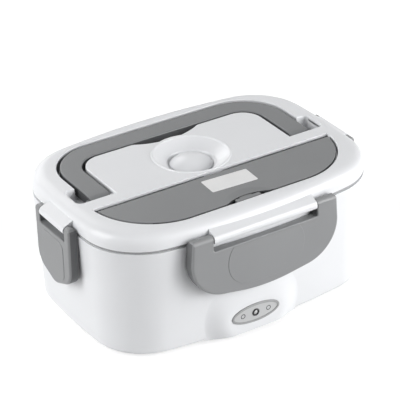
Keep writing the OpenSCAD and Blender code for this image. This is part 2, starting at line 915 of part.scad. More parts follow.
module heating_plate() {
    color([0.76, 0.77, 0.78])
        difference() {
            union() {
                translate([0, 0, floor_z]) linear_extrude(plate_t)
                    round_rect(plate_l, plate_d, plate_r);
                translate([0, 0, heater_z]) linear_extrude(floor_z - heater_z)
                    plate_boss_plan();
                for (s = [-1, 1]) translate([s * clamp_x, 0, boss_low])
                    cylinder(r = clamp_boss_r, h = heater_t);
            }
            for (s = [-1, 1]) translate([s * clamp_x, 0, boss_low - 1])
                cylinder(r = screw_r, h = heater_t);
        }
}

module ptc_heater() {
    color([0.6, 0.42, 0.25])
        block(-heater_l / 2, heater_l / 2, -heater_w / 2, heater_w / 2, boss_low, heater_z);
}

module heater_clamp() {
    color([0.7, 0.71, 0.72])
        difference() {
            block(-clamp_x - clamp_end, clamp_x + clamp_end, -clamp_w / 2, clamp_w / 2,
                boss_low - clamp_t, boss_low);
            for (s = [-1, 1]) translate([s * clamp_x, 0, boss_low - 5])
                cylinder(r = screw_r + 0.3, h = 10);
        }
}

module clamp_screws() {
    color([0.55, 0.56, 0.58])
        for (s = [-1, 1]) translate([s * clamp_x, 0, boss_low - clamp_t]) {
            cylinder(r = screw_r, h = heater_t - 0.5);
            translate([0, 0, -head_h]) cylinder(r = head_r, h = head_h);
        }
}

module thermostat() {
    color([0.3, 0.3, 0.31])
        translate([thermostat_x, thermostat_y, heater_z - thermostat_h]) {
            cylinder(r = thermostat_r, h = thermostat_h);
            for (s = [-1, 1])
                translate([s * terminal_x, 0, -terminal_h])
                    cylinder(r = wire_r, h = terminal_h + 1, $fn = 24);
        }
}

module thermal_fuse() {
    color([0.75, 0.7, 0.55])
        rod_x(fuse_r, fuse_x, fuse_x + fuse_l, thermostat_y, heater_z - fuse_r);
}

module supply_wires() {
    tail = pin_tail_y - 2;
    pin_x = pin_pitch / 2;
    terminal_z = heater_z - thermostat_h - terminal_h;
    heater_y = heater_w / 2;
    heater_mid = boss_low + heater_t / 2;
    color([0.65, 0.2, 0.15]) {
        wire([[-pin_x, tail, inlet_mid], [-pin_x - wire_bend, tail - wire_turn, wire_z],
            [thermostat_x - terminal_x, thermostat_y + wire_turn, wire_z - wire_r],
            [thermostat_x - terminal_x, thermostat_y, terminal_z]], wire_r);
        wire([[pin_x, tail, inlet_mid], [pin_x + wire_bend, tail - wire_turn, wire_z],
            [fuse_x + fuse_l + wire_bend, thermostat_y + wire_turn, wire_z],
            [fuse_x + fuse_l, thermostat_y, heater_z - fuse_r]], wire_r);
        wire([[thermostat_x + terminal_x, thermostat_y, terminal_z],
            [-heater_lead - wire_bend / 3, heater_y + wire_turn / 3, boss_low + wire_r],
            [-heater_lead, heater_y, heater_mid]], wire_r);
        wire([[fuse_x, thermostat_y, heater_z - fuse_r],
            [heater_lead - wire_bend / 3, heater_y + wire_turn / 3, boss_low + 2 * wire_r],
            [heater_lead, heater_y, heater_mid]], wire_r);
    }
}

module lamp_wires() {
    heater_y = -heater_w / 2;
    back_y = board_y + board_t;
    color([0.2, 0.2, 0.22])
        for (s = [-1, 1])
            wire([[s * lamp_lead, heater_y, boss_low + heater_t * 0.4],
                [s * (lamp_lead + wire_bend / 3), heater_y - wire_turn * 1.3, boss_low + wire_r],
                [-oval_left + s * lamp_lead, back_y + wire_turn * 1.2, oval_mid],
                [-oval_left + s * lamp_lead / 2, back_y, oval_mid]], lamp_wire_r);
}

// ---- Indicator ----

module lamp_board() {
    color([0.2, 0.42, 0.25])
        block(-oval_left - board_l / 2, -oval_left + board_l / 2, board_y, board_y + board_t,
            under_z + cover_plate_t + fit_gap, bay_z - 1);
}

module indicator_panel() {
    color([0.78, 0.79, 0.8])
        difference() {
            translate([0, boss_y + panel_sink, 0]) rotate([90, 0, 0]) linear_extrude(panel_t)
                oval(oval_l, oval_h);
            translate([-oval_left, 0, oval_mid]) rotate([90, 0, 0])
                cylinder(r = lamp_d / 2 + pin_gap, h = big / 2);
            difference() {
                translate([0, boss_y + panel_sink - panel_t + 0.5, 0]) rotate([90, 0, 0])
                    linear_extrude(1) oval(oval_l - 3, oval_h - 2.6);
                translate([-oval_left, 0, oval_mid]) rotate([90, 0, 0])
                    cylinder(r = lamp_d / 2 + 1, h = big / 2);
            }
        }
}

module indicator_lamp() {
    face_y = boss_y + panel_sink - panel_t;
    color([0.1, 0.1, 0.1])
        translate([-oval_left, board_y, oval_mid]) rotate([90, 0, 0])
            cylinder(r = lamp_d / 2, h = board_y - face_y + 0.4);
}

// ---- Inlet ----

module power_inlet() {
    color([0.15, 0.15, 0.16])
        difference() {
            union() {
                wall_slot(inlet_outer_w, inlet_outer_h, inlet_mid, inlet_r, inlet_back,
                    pad_y + flange_out);
                wall_slot(inlet_outer_w + 2 * inlet_border, inlet_outer_h + inlet_border - 1.5,
                    inlet_mid, inlet_r, pad_y, pad_y + flange_out);
            }
            wall_slot(inlet_w, inlet_h, inlet_mid, inlet_h / 2 - 0.5, pad_y - inlet_depth,
                pad_y + flange_out + 1);
            for (s = [-1, 1])
                translate([s * pin_pitch / 2, pad_y, inlet_mid]) rotate([90, 0, 0])
                    cylinder(r = pin_d / 2, h = big / 8);
        }
}

module inlet_pins() {
    color([0.8, 0.72, 0.45])
        for (s = [-1, 1])
            translate([s * pin_pitch / 2, pad_y - pin_sink, inlet_mid]) rotate([90, 0, 0])
                cylinder(r = pin_d / 2, h = pad_y - pin_sink - pin_tail_y);
}

// ---- Underside ----

module bottom_cover() {
    color([0.93, 0.93, 0.94])
        difference() {
            union() {
                prism(under_z, under_z + cover_plate_t / 2, -under_opening + under_step - fit_gap);
                prism(under_z, under_z + cover_plate_t, -under_opening - fit_gap);
            }
            for (x = [-1, 1], y = [-1, 1]) {
                translate([x * screw_x, y * screw_y, 0]) {
                    cylinder(r = screw_r + 0.3, h = 20);
                    cylinder(r = head_r + 0.3, h = under_z + head_sink);
                }
                translate([x * foot_x, y * foot_y, 0]) cylinder(d = foot_d, h = under_z + foot_sink);
            }
        }
}

module bottom_screws() {
    color([0.55, 0.56, 0.58])
        for (x = [-1, 1], y = [-1, 1])
            translate([x * screw_x, y * screw_y, under_z + head_sink]) {
                translate([0, 0, -head_h]) cylinder(r = head_r, h = head_h);
                cylinder(r = screw_r, h = screw_l);
            }
}

module rubber_feet() {
    color([0.2, 0.2, 0.2])
        for (x = [-1, 1], y = [-1, 1])
            translate([x * foot_x, y * foot_y, 0]) {
                cylinder(d1 = foot_d - 2, d2 = foot_d, h = 1);
                translate([0, 0, 1]) cylinder(d = foot_d, h = foot_h + foot_sink - 1);
            }
}

lid_cover();
lid_liner();
lid_seal();
carry_handle();
handle_pins();
cutlery_cover();
spoon();
fork();
steam_plug();
front_clip();
rear_clip();
left_clip();
right_clip();
base_shell();
well_liner();
food_container();
heating_plate();
ptc_heater();
heater_clamp();
clamp_screws();
thermostat();
thermal_fuse();
supply_wires();
lamp_wires();
lamp_board();
indicator_panel();
indicator_lamp();
power_inlet();
inlet_pins();
bottom_cover();
bottom_screws();
rubber_feet();
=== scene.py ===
# Electric lunch box: smooth shells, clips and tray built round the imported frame, with studio light.
import math

import bmesh
import bpy
from mathutils import Matrix, Vector


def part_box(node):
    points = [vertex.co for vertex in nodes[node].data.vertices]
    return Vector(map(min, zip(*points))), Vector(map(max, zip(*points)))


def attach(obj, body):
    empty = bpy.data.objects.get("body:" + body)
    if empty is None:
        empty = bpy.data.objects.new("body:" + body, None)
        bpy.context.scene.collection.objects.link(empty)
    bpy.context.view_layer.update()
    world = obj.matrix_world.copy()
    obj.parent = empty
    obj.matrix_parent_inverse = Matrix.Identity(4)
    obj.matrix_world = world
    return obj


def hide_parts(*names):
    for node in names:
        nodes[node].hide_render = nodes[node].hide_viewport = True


mm = 0.001
weld = {"mirror": 0.01 * mm, "outline": 0.005 * mm, "solid": 0.004 * mm}  # points this close merge
near = 0.05 * mm  # points closer than this count as one place
exact = 0.001 * mm  # and closer than this as one level
square = 0.9  # a normal's part along an axis from which its face counts as square to that axis
steep = 0.3  # and below which it counts as a side face
sealInset = 0.8 * mm  # the seal stands this far inside the lid's outline
greyDrop = 0.15 * mm  # the grey pieces lie this far below the lid's top

print("loading the frame")
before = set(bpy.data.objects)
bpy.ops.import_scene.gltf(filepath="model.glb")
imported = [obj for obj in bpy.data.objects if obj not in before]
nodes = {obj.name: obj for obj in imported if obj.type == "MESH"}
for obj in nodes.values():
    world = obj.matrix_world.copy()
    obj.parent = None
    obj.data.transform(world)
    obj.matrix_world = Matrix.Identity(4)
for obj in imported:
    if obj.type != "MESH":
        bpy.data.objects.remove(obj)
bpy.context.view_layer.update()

# heights and half sizes that the frame gives
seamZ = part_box("lid_seal")[1].z
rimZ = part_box("base_shell")[1].z
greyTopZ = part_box("carry_handle")[1].z
lidTopZ = greyTopZ + greyDrop
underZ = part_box("bottom_cover")[0].z
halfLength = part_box("lid_seal")[1].x + sealInset
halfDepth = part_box("lid_seal")[1].y + sealInset
panelAt = (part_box("indicator_panel")[0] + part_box("indicator_panel")[1]) / 2
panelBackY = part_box("indicator_panel")[1].y


# a dictionary of lengths that are given in millimetres
def lengths(**values):
    return {key: tuple(v * mm for v in value) if isinstance(value, tuple) else value * mm
            for key, value in values.items()}


# making shapes

def leaveEdit():
    if bpy.context.object and bpy.context.object.mode != "OBJECT":
        bpy.ops.object.mode_set(mode="OBJECT")


def selectNone():
    leaveEdit()
    bpy.ops.object.select_all(action="DESELECT")


def pick(*pieces):
    selectNone()
    for piece in pieces:
        piece.select_set(True)
    bpy.context.view_layer.objects.active = pieces[-1]
    return pieces[-1]


def edit(piece, kind="VERT"):
    pick(piece)
    bpy.ops.object.mode_set(mode="EDIT")
    bpy.ops.mesh.select_mode(type=kind)
    bpy.ops.mesh.select_all(action="SELECT")


def named(piece, name):
    piece.name = name
    piece.data.name = name
    return piece


# selects, in edit mode, the elements of one kind that pass the test
def choose(piece, kind, test):
    bpy.ops.mesh.select_mode(type={"verts": "VERT", "edges": "EDGE", "faces": "FACE"}[kind])
    bpy.ops.mesh.select_all(action="DESELECT")
    shape = bmesh.from_edit_mesh(piece.data)
    shape.normal_update()
    for part in getattr(shape, kind):
        if test(part):
            part.select_set(True)
    shape.select_flush_mode()
    bmesh.update_edit_mesh(piece.data)


# a mesh of one point, selected in edit mode
def startPoint(name, at):
    selectNone()
    bpy.ops.mesh.primitive_plane_add(size=mm, location=at)
    bpy.ops.object.transform_apply(location=True)
    piece = named(bpy.context.object, name)
    edit(piece)
    bpy.ops.mesh.merge(type="CENTER")
    return piece


def goTo(dx, dy, dz=0.0):
    bpy.ops.mesh.extrude_region_move(TRANSFORM_OT_translate={"value": (dx, dy, dz)})


# turns the selected point or edge about a centre, anticlockwise seen against the axis
def turn(centre, degrees, steps, axis=(0, 0, 1)):
    bpy.ops.mesh.spin(steps=steps, angle=math.radians(-degrees), center=centre, axis=axis)


def applyModifier(piece, kind, **values):
    pick(piece)
    modifier = piece.modifiers.new(kind.lower(), kind)
    for key, value in values.items():
        setattr(modifier, key, value)
    bpy.ops.object.modifier_apply(modifier=modifier.name)
    return piece


def mirror(piece, x=False, y=False):
    return applyModifier(piece, "MIRROR", use_axis=(x, y, False), merge_threshold=weld["mirror"])


# closes a loop of edges with one face
def fill(piece):
    edit(piece)
    bpy.ops.mesh.remove_doubles(threshold=weld["outline"])
    bpy.ops.mesh.select_all(action="SELECT")
    bpy.ops.mesh.edge_face_add()
    leaveEdit()
    return piece


def isNear(a, b):
    return abs(a - b) < near


def isLevel(part, z):
    return all(abs(v.co.z - z) < exact for v in part.verts)


# rounds the points of a flat outline that pass the test
def roundPoints(piece, offset, segments, test=lambda point: True):
    edit(piece)
    choose(piece, "verts", test)
    bpy.ops.mesh.bevel(offset=offset, segments=segments, affect="VERTICES")
    leaveEdit()
    return piece


# a flat face becomes a solid: first it moves by height, then its end shrinks and moves on by each ring
def raiseFace(piece, height, rings=()):
    edit(piece)
    goTo(0, 0, height)
    bpy.ops.mesh.select_all(action="SELECT")
    bpy.ops.mesh.normals_make_consistent(inside=False)
    leaveEdit()
    endZ = (max if height > 0 else min)(v.co.z for v in piece.data.vertices)
    edit(piece)
    choose(piece, "faces", lambda f: abs(f.normal.z) > square and isLevel(f, endZ))
    for shrink, rise in rings:
        bpy.ops.mesh.inset(thickness=shrink, depth=rise)
    leaveEdit()
    return piece


# rings of a rounded outer edge
def roundOver(radius, steps, start=0.0, end=90.0):
    angles = [math.radians(start + (end - start) * i / steps) for i in range(steps + 1)]
    return [(radius * (math.cos(a) - math.cos(b)), radius * (math.sin(b) - math.sin(a)))
            for a, b in zip(angles, angles[1:])]


# like roundOver, but a fuller curve than a circle
def fullOver(radius, steps, fullness):
    power = 2 / fullness
    angles = [math.tau / 4 * i / steps for i in range(steps)]
    curve = [(math.cos(angle) ** power, math.sin(angle) ** power) for angle in angles] + [(0, 1)]
    return [(radius * (a - c), radius * (d - b)) for (a, b), (c, d) in zip(curve, curve[1:])]


# rings of a cutter that leaves a rounded edge round its opening
def flareIn(radius, steps, start=6):
    angles = [math.radians(start + (90 - start) * i / steps) for i in range(steps + 1)]
    return [(radius * (math.sin(b) - math.sin(a)), radius * (math.cos(a) - math.cos(b)))
            for a, b in zip(angles, angles[1:])]


def combine(piece, other, operation="DIFFERENCE", solver="EXACT"):
    applyModifier(piece, "BOOLEAN", operation=operation, object=other, solver=solver)
    bpy.data.objects.remove(other)
    return piece


def join(piece, other):
    return combine(piece, other, "UNION")


def tidy(piece):
    edit(piece)
    bpy.ops.mesh.remove_doubles(threshold=weld["solid"])
    bpy.ops.mesh.select_all(action="SELECT")
    bpy.ops.mesh.normals_make_consistent(inside=False)
    leaveEdit()
    return piece


def softenEdges(piece, width, segments=3, angle=38):
    return applyModifier(piece, "BEVEL", width=width, segments=segments, limit_method="ANGLE",
                         angle_limit=math.radians(angle), use_clamp_overlap=False, harden_normals=False,
                         miter_outer="MITER_ARC")


# smooth shading with flat faces kept flat, and the piece's place in the model
def finishPiece(piece, body, finish, replaced=(), angle=40):
    pick(piece)
    bpy.ops.object.shade_smooth_by_angle(angle=math.radians(angle))
    applyModifier(piece, "WEIGHTED_NORMAL", keep_sharp=True, weight=80)
    piece.data.materials.clear()
    piece.data.materials.append(finishes[finish])
    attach(piece, body)
    if replaced:
        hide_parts(*replaced)


# gives a piece a second finish on the faces that the test picks
def shadeFaces(piece, finish, test):
    piece.data.materials.append(finishes[finish])
    for face in piece.data.polygons:
        if test(face):
            face.material_index = 1


# plan of lid and base: bowed ends and sides joined by round corners

plan = {**lengths(cornerRadius=44, bowRadius=500), "endSteps": 6, "cornerSteps": 20, "sideSteps": 10}


def planCentres():
    endX = halfLength - plan["bowRadius"]
    sideY = halfDepth - plan["bowRadius"]
    between = math.hypot(endX, sideY)
    reach = math.sqrt((plan["bowRadius"] - plan["cornerRadius"]) ** 2 - (between / 2) ** 2)
    cornerX = endX / 2 - sideY / between * reach
    cornerY = sideY / 2 - endX / between * reach
    return endX, sideY, cornerX, cornerY


def traceOutline(name, grow, z):
    endX, sideY, cornerX, cornerY = planCentres()
    endAngle = math.degrees(math.atan2(cornerY, cornerX - endX))
    sideAngle = math.degrees(math.atan2(cornerY - sideY, cornerX))
    piece = startPoint(name, (halfLength + grow, 0, z))
    turn((endX, 0, z), endAngle, plan["endSteps"])
    turn((cornerX, cornerY, z), sideAngle - endAngle, plan["cornerSteps"])
    turn((0, sideY, z), 90 - sideAngle, plan["sideSteps"])
    return fill(mirror(piece, x=True, y=True))


def outlineSolid(name, grow, z, height, rings=()):
    return raiseFace(traceOutline(name, grow, z), height, rings)


def boxSolid(name, low, high):
    selectNone()
    middle = [(a + b) / 2 for a, b in zip(low, high)]
    bpy.ops.mesh.primitive_cube_add(size=1, location=middle)
    bpy.context.object.scale = [b - a for a, b in zip(low, high)]
    bpy.ops.object.transform_apply(location=True, scale=True)
    return named(bpy.context.object, name)


def rodSolid(name, radius, start, length, axis="X", sides=48):
    selectNone()
    way = {"X": Vector((1, 0, 0)), "Y": Vector((0, 1, 0)), "Z": Vector((0, 0, 1))}[axis]
    turned = {"X": (0, math.pi / 2, 0), "Y": (math.pi / 2, 0, 0), "Z": (0, 0, 0)}[axis]
    bpy.ops.mesh.primitive_cylinder_add(vertices=sides, radius=radius, depth=length,
                                        location=Vector(start) + way * length / 2, rotation=turned)
    bpy.ops.object.transform_apply(location=True, rotation=True)
    return named(bpy.context.object, name)


# a profile of (distance, height) points turned once round a vertical axis
def lathe(name, profile, at, steps=96):
    piece = startPoint(name, (at[0] + profile[0][0], at[1], profile[0][1]))
    for (r0, z0), (r1, z1) in zip(profile, profile[1:]):
        goTo(r1 - r0, 0, z1 - z0)
    bpy.ops.mesh.select_all(action="SELECT")
    bpy.ops.mesh.spin(steps=steps, angle=math.tau, center=(at[0], at[1], 0), axis=(0, 0, 1))
    return tidy(piece)


def arcPoints(centre, radius, start, end, steps):
    return [(centre[0] + radius * math.cos(math.radians(start + (end - start) * i / steps)),
             centre[1] + radius * math.sin(math.radians(start + (end - start) * i / steps)))
            for i in range(steps + 1)]


def turnPiece(piece, degrees, axis="Z"):
    pick(piece)
    piece.rotation_euler["XYZ".index(axis)] = math.radians(degrees)
    bpy.ops.object.transform_apply(rotation=True)
    return piece


def movePiece(piece, x=0.0, y=0.0, z=0.0):
    pick(piece)
    piece.location = (x, y, z)
    bpy.ops.object.transform_apply(location=True)
    return piece


# lid

lid = {**lengths(edgeRadius=11, wall=2.2, openingRadius=0.9, pocketWall=1.6, skin=1.2, above=2),
       "edgeSteps": 16, "fullness": 2.8, "sharpShare": 0.6}
channel = lengths(x=90, rear=63.2, width=15.4, radius=34, gap=2.4, front=-7.5, floor=9.15, floorRadius=1.5,
                  scallopRadius=51.8, scallopDepth=7.6, scallopBlend=6)
armWell = lengths(rear=5.1, floor=12.85, top=2)
pit = lengths(inner=84, outer=101, rear=13, depth=9.2, slope=1.4, radius=3.8, floorRadius=1.4, blockIn=0.4,
              blockRear=0.5)
recess = lengths(rear=-20.7, ends=47, middle=-16, radius=48, gap=1.7, ledge=3.35, ledgeWidth=5.5, floor=20.4,
                 floorRadius=2.6, groove=5.45, grooveFront=-26.6, grooveEnd=0.6, grooveTop=1.2, notchIn=1.5,
                 notchRear=5, lap=0.1)
vent = lengths(y=10, top=26, bottom=17.2, depth=8, hole=6, tubeLow=74, tubeLength=40, spare=3, bead=0.6,
               beadWidth=3.4, crest=1.5, shoulder=0.7, footIn=0.9, footRise=0.12, skirt=0.02, floorRadius=3,
               floorIn=2, lipRadius=1.6, mouth=1.4)
lips = {"front": {**lengths(reach=81.0, width=83), "half": halfDepth, "turns": (0, 180)},
        "side": {**lengths(reach=115.1, width=33), "half": halfLength, "turns": (90, 270)}}
lipForm = {**lengths(radius=3.7, bore=2.2, above=0.6, seat=0.3, rootIn=1.2, rootDrop=0.2, rootLow=1.2),
           "steps": 9, "outerEnd": 168, "innerTurn": 258}
rollZ = seamZ + lipForm["above"]  # middle of the lips' rolls and of the clips' bars


# the handle's channel with the finger scallop, as a flat face
def channelPlan(name, grow, z):
    c = channel
    innerY = c["rear"] - c["width"] - c["gap"] - grow
    innerX = c["x"] - c["width"] - c["gap"] - grow
    outerX = c["x"] + c["gap"] + grow
    cornerX, cornerY = c["x"] - c["radius"], c["rear"] - c["radius"]
    scallopY = innerY + grow - c["scallopDepth"] + c["scallopRadius"]
    blendY = innerY + grow - c["scallopBlend"]
    blendX = math.sqrt((c["scallopRadius"] + c["scallopBlend"]) ** 2 - (scallopY - blendY) ** 2)
    swing = math.degrees(math.atan2(blendX, scallopY - blendY))
    piece = startPoint(name, (0, scallopY - c["scallopRadius"] - grow, z))
    turn((0, scallopY, z), swing, 10)
    turn((blendX, blendY, z), -swing, 4)
    goTo(cornerX - blendX, 0)
    turn((cornerX, cornerY, z), -90, 12)
    goTo(0, c["front"] - grow - cornerY)
    goTo(outerX - innerX, 0)
    goTo(0, cornerY - c["front"] + grow)
    turn((cornerX, cornerY, z), 90, 16)
    goTo(-cornerX, 0)
    return fill(mirror(piece, x=True))


# the cutlery recess: straight at the rear, round at both ends
def recessPlan(name, grow, z, steps=22):
    r = recess
    radius = r["radius"] + grow
    rearY = r["rear"] + grow
    piece = startPoint(name, (0, r["middle"] - radius, z))
    goTo(r["ends"], 0)
    turn((r["ends"], r["middle"], z), 90 + math.degrees(math.asin((rearY - r["middle"]) / radius)), steps)
    endX = r["ends"] + math.sqrt(radius ** 2 - (rearY - r["middle"]) ** 2)
    goTo(-endX, 0)
    return fill(mirror(piece, x=True))


def rectanglePlan(name, x0, x1, y0, y1, z, radius, segments=5):
    piece = startPoint(name, (x0, y0, z))
    goTo(x1 - x0, 0)
    goTo(0, y1 - y0)
    goTo(x0 - x1, 0)
    goTo(0, y0 - y1)
    return roundPoints(fill(piece), radius, segments)


# a rectangle about the middle of the model
def platePlan(name, width, depth, radius):
    return rectanglePlan(name, -width / 2, width / 2, -depth / 2, depth / 2, 0, radius)


# rings of a pocket cutter: rounded opening, straight wall, rounded floor
def pocketRings(opening, depth, floorRadius, slope=0):
    return flareIn(opening, 5) + [(slope, depth - opening - floorRadius)] + roundOver(floorRadius, 4)


def makeLip(kind):
    s, f = lips[kind], lipForm
    edgeY = -(s["half"] - lid["edgeRadius"])
    edgeZ = lidTopZ - lid["edgeRadius"]
    rollY = -s["reach"]
    # the top runs along the line that touches both the lid's rounded edge and the roll
    apart = math.hypot(edgeY - rollY, edgeZ - rollZ)
    lean = math.degrees(math.asin((lid["edgeRadius"] - f["radius"]) / apart))
    lean += math.degrees(math.atan2(edgeZ - rollZ, edgeY - rollY))
    slope, end = math.radians(lean), math.radians(f["outerEnd"])
    piece = startPoint("lip", (-s["width"] / 2, rollY - f["radius"] * math.sin(slope),
                               rollZ + f["radius"] * math.cos(slope)))
    middle = (-s["width"] / 2, rollY, rollZ)
    turn(middle, f["outerEnd"] - lean, 12, axis=(1, 0, 0))
    wall = f["radius"] - f["bore"]
    goTo(0, wall * math.sin(end), -wall * math.cos(end))
    turn(middle, -f["innerTurn"], 20, axis=(1, 0, 0))
    goTo(0, 0, seamZ + f["seat"] - rollZ)
    rootY = edgeY - (lid["edgeRadius"] - f["rootIn"]) * math.sin(slope)
    rootZ = edgeZ + (lid["edgeRadius"] - f["rootDrop"]) * math.cos(slope)
    goTo(0, rootY - rollY - f["bore"], 0)
    goTo(0, 0, rootZ - seamZ - f["seat"] - f["rootLow"])
    edit(fill(piece))
    for _ in range(f["steps"]):
        goTo(s["width"] / f["steps"], 0)
    tidy(piece)
    # the root follows the bowed side while the roll stays straight
    for vertex in piece.data.vertices:
        share = min(1.0, max(0.0, (vertex.co.y - rollY) / (rootY - rollY)))
        vertex.co.y += share * vertex.co.x ** 2 / (2 * plan["bowRadius"])
    return piece


def makeLid():
    print("lid shell")
    shell = outlineSolid("lidShell", 0, seamZ, lidTopZ - seamZ - lid["edgeRadius"],
                         fullOver(lid["edgeRadius"], lid["edgeSteps"], lid["fullness"]))
    combine(shell, outlineSolid("hollow", -lid["wall"], seamZ - mm, lidTopZ - seamZ + mm - lid["edgeRadius"],
                                roundOver(lid["edgeRadius"] - lid["wall"], 6)))
    for kind in lips:
        for angle in lips[kind]["turns"]:
            join(shell, turnPiece(makeLip(kind), angle))
    for block in pocketBlocks():
        join(shell, block)
    for cutter in pocketCutters():
        combine(shell, cutter)
    addVent(shell)
    finishPiece(tidy(shell), "lid", "whiteShell", ("lid_cover",), 32)


# room for one arm of the handle: the cutter as it is, and the block round it grown by a wall
def armBox(side, grow, topZ):
    armX = side * (channel["x"] - channel["width"] / 2)
    half = channel["width"] / 2 + channel["gap"] + grow
    return boxSolid("arm", (armX - half, channel["front"] - grow, lidTopZ - armWell["floor"] - grow),
                    (armX + half, armWell["rear"] + grow, topZ))


# what the pockets are cut from, below the skin of the lid
def pocketBlocks():
    wall = lid["pocketWall"]
    skinZ = lidTopZ - lid["skin"]
    deep = lidTopZ - recess["floor"]
    blocks = [
        raiseFace(channelPlan("block", wall, lidTopZ - channel["floor"] - wall),
                  skinZ - lidTopZ + channel["floor"] + wall),
        raiseFace(recessPlan("block", wall, lidTopZ - recess["groove"] - wall),
                  skinZ - lidTopZ + recess["groove"] + wall),
        raiseFace(recessPlan("block", wall - recess["ledgeWidth"], deep - wall), skinZ - deep + wall),
        rodSolid("block", vent["top"] + wall, (0, vent["y"], lidTopZ - vent["depth"] - wall),
                 vent["depth"], "Z", 96),
        rodSolid("block", vent["hole"] + wall, (0, vent["y"], vent["tubeLow"]),
                 lidTopZ - vent["depth"] - vent["tubeLow"] - mm, "Z", 48)]
    for side in (-1, 1):
        blocks.append(armBox(side, wall, skinZ))
        low, high = sorted((side * (pit["inner"] - wall), side * (pit["outer"] - pit["blockIn"])))
        blocks.append(boxSolid("block", (low, channel["front"] - wall, lidTopZ - pit["depth"] - wall),
                               (high, pit["rear"] + pit["blockRear"], skinZ)))
    return blocks


def pocketCutters():
    above, opening, r = lid["above"], lid["openingRadius"], recess
    sharp = opening * lid["sharpShare"]
    notch, reach = cover["notchHalf"], r["ends"] + r["radius"] + r["grooveEnd"]
    cutters = [
        raiseFace(channelPlan("cutter", opening, lidTopZ + above), -above,
                  pocketRings(opening, channel["floor"], channel["floorRadius"])),
        raiseFace(recessPlan("cutter", r["gap"] + sharp, lidTopZ + above), -above,
                  flareIn(sharp, 4) + [(0, r["ledge"] - sharp)]),
        raiseFace(recessPlan("cutter", -r["ledgeWidth"], lidTopZ, 11), -r["floor"] + r["floorRadius"],
                  roundOver(r["floorRadius"], 5)),
        boxSolid("cutter", (r["notchIn"] - notch, cover["front"] - r["gap"], lidTopZ - r["groove"]),
                 (notch - r["notchIn"], cover["notchY"] + r["notchRear"], lidTopZ - r["ledge"] + r["lap"])),
        boxSolid("cutter", (-reach, r["grooveFront"], lidTopZ - r["groove"]),
                 (reach, r["rear"] + r["lap"], lidTopZ - r["grooveTop"]))]
    for side in (-1, 1):
        cutters.append(armBox(side, 0, lidTopZ - armWell["top"]))
        low, high = sorted((side * pit["inner"], side * pit["outer"]))
        scoop = rectanglePlan("cutter", low - opening, high + opening, channel["front"] - opening,
                              pit["rear"] + opening, lidTopZ + above, pit["radius"] + opening)
        cutters.append(raiseFace(scoop, -above,
                                 pocketRings(opening, pit["depth"], pit["floorRadius"], pit["slope"])))
    return cutters


# raised bead, bowl and steam hole
def addVent(shell):
    v, top = vent, lidTopZ
    low, crestZ = top - v["depth"], top + v["bead"]
    outer, crest = v["top"] + v["beadWidth"], v["top"] + v["crest"]
    bead = [(0, top - v["spare"]), (outer, top - v["spare"]), (outer, top - v["skirt"]),
            (outer - v["footIn"], top + v["footRise"]), (crest + v["shoulder"], top + v["bead"] * 0.85),
            (crest, crestZ), (0, crestZ)]
    join(shell, lathe("bead", bead, (0, v["y"])))
    floorX = v["bottom"] - v["floorIn"]
    bowl = [(0, low), (floorX, low)]
    bowl += arcPoints((floorX, low + v["floorRadius"]), v["floorRadius"], -75, -20, 5)
    bowl += arcPoints((v["top"] + v["lipRadius"], crestZ - v["lipRadius"]), v["lipRadius"], 160, 95, 6)
    bowl += [(v["top"] + v["mouth"], top + v["spare"]), (0, top + v["spare"])]
    combine(shell, lathe("bowl", bowl, (0, v["y"])))
    combine(shell, rodSolid("hole", v["hole"], (0, v["y"], v["tubeLow"] - mm), v["tubeLength"], "Z", 48))


# handle

handle = lengths(inner=74.6, outer=90, thickness=8.2, rear=63.2, radius=34, pivotY=-1.2, pivotDrop=6.25,
                 discRadius=5.8, slopeFrom=3, edge=0.9)


def makeHandle():
    print("handle")
    h = handle
    lowZ = greyTopZ - h["thickness"]
    pivotZ = lidTopZ - h["pivotDrop"]
    cornerX = h["outer"] - h["radius"]
    cornerY = h["rear"] - h["radius"]
    under = math.degrees(math.asin((pivotZ - lowZ) / h["discRadius"]))
    # the side of one arm, drawn round its pivot disc and then thickened
    piece = startPoint("carryHandle", (h["inner"], cornerY, greyTopZ))
    goTo(0, h["slopeFrom"] - cornerY)
    goTo(0, h["pivotY"] - h["slopeFrom"], pivotZ + h["discRadius"] - greyTopZ)
    turn((h["inner"], h["pivotY"], pivotZ), 270 - under, 26, axis=(1, 0, 0))
    goTo(0, cornerY - h["pivotY"] - h["discRadius"] * math.cos(math.radians(under)))
    edit(fill(piece))
    goTo(h["outer"] - h["inner"], 0)
    edit(tidy(piece))
    # the arm's end turns round the corner and runs to the middle
    choose(piece, "faces", lambda f: f.normal.y > square and f.calc_center_median().y > cornerY - mm)
    turn((cornerX, cornerY, greyTopZ), 90, 20)
    goTo(-cornerX, 0)
    bpy.ops.mesh.delete(type="FACE")
    tidy(mirror(piece, x=True))
    softenEdges(piece, h["edge"], 4, 50)
    finishPiece(piece, "handle", "handleGrey", ("carry_handle",), 35)
    # the handle's side faces below its top take a near-black grey: painted shade standing in for the dark
    # gaps round it in the channel
    shadeFaces(piece, "paintedGapShade",
               lambda face: abs(face.normal.z) < steep and face.center.z < greyTopZ - mm)


# cutlery cover and its blank label

cover = lengths(front=-64, rear=-23.6, thickness=2.4, edge=0.4, half=94.4, knuckle=2.2, pinRadius=1.1,
                pinEnd=97.6, hingeDrop=2.55, notchRadius=28.5, notchY=-57.6, notchHalf=18, notchRound=2.4,
                dishY=-72, dishBall=80, dishRadius=21, dishRoom=2, tabHalf=9.8, tabIn=0.1, tabRear=-60.4,
                tabHeight=1.5, tabCorner=0.6, tabEdge=0.3, bridge=0.5, bridgeHalf=5, bridgeIn=0.6,
                near=0.1, notchNear=0.5)
label = {**lengths(x=1, y=-37.5, width=36, depth=17, thickness=0.16, corner=1.2, edge=0.06), "turned": -3}


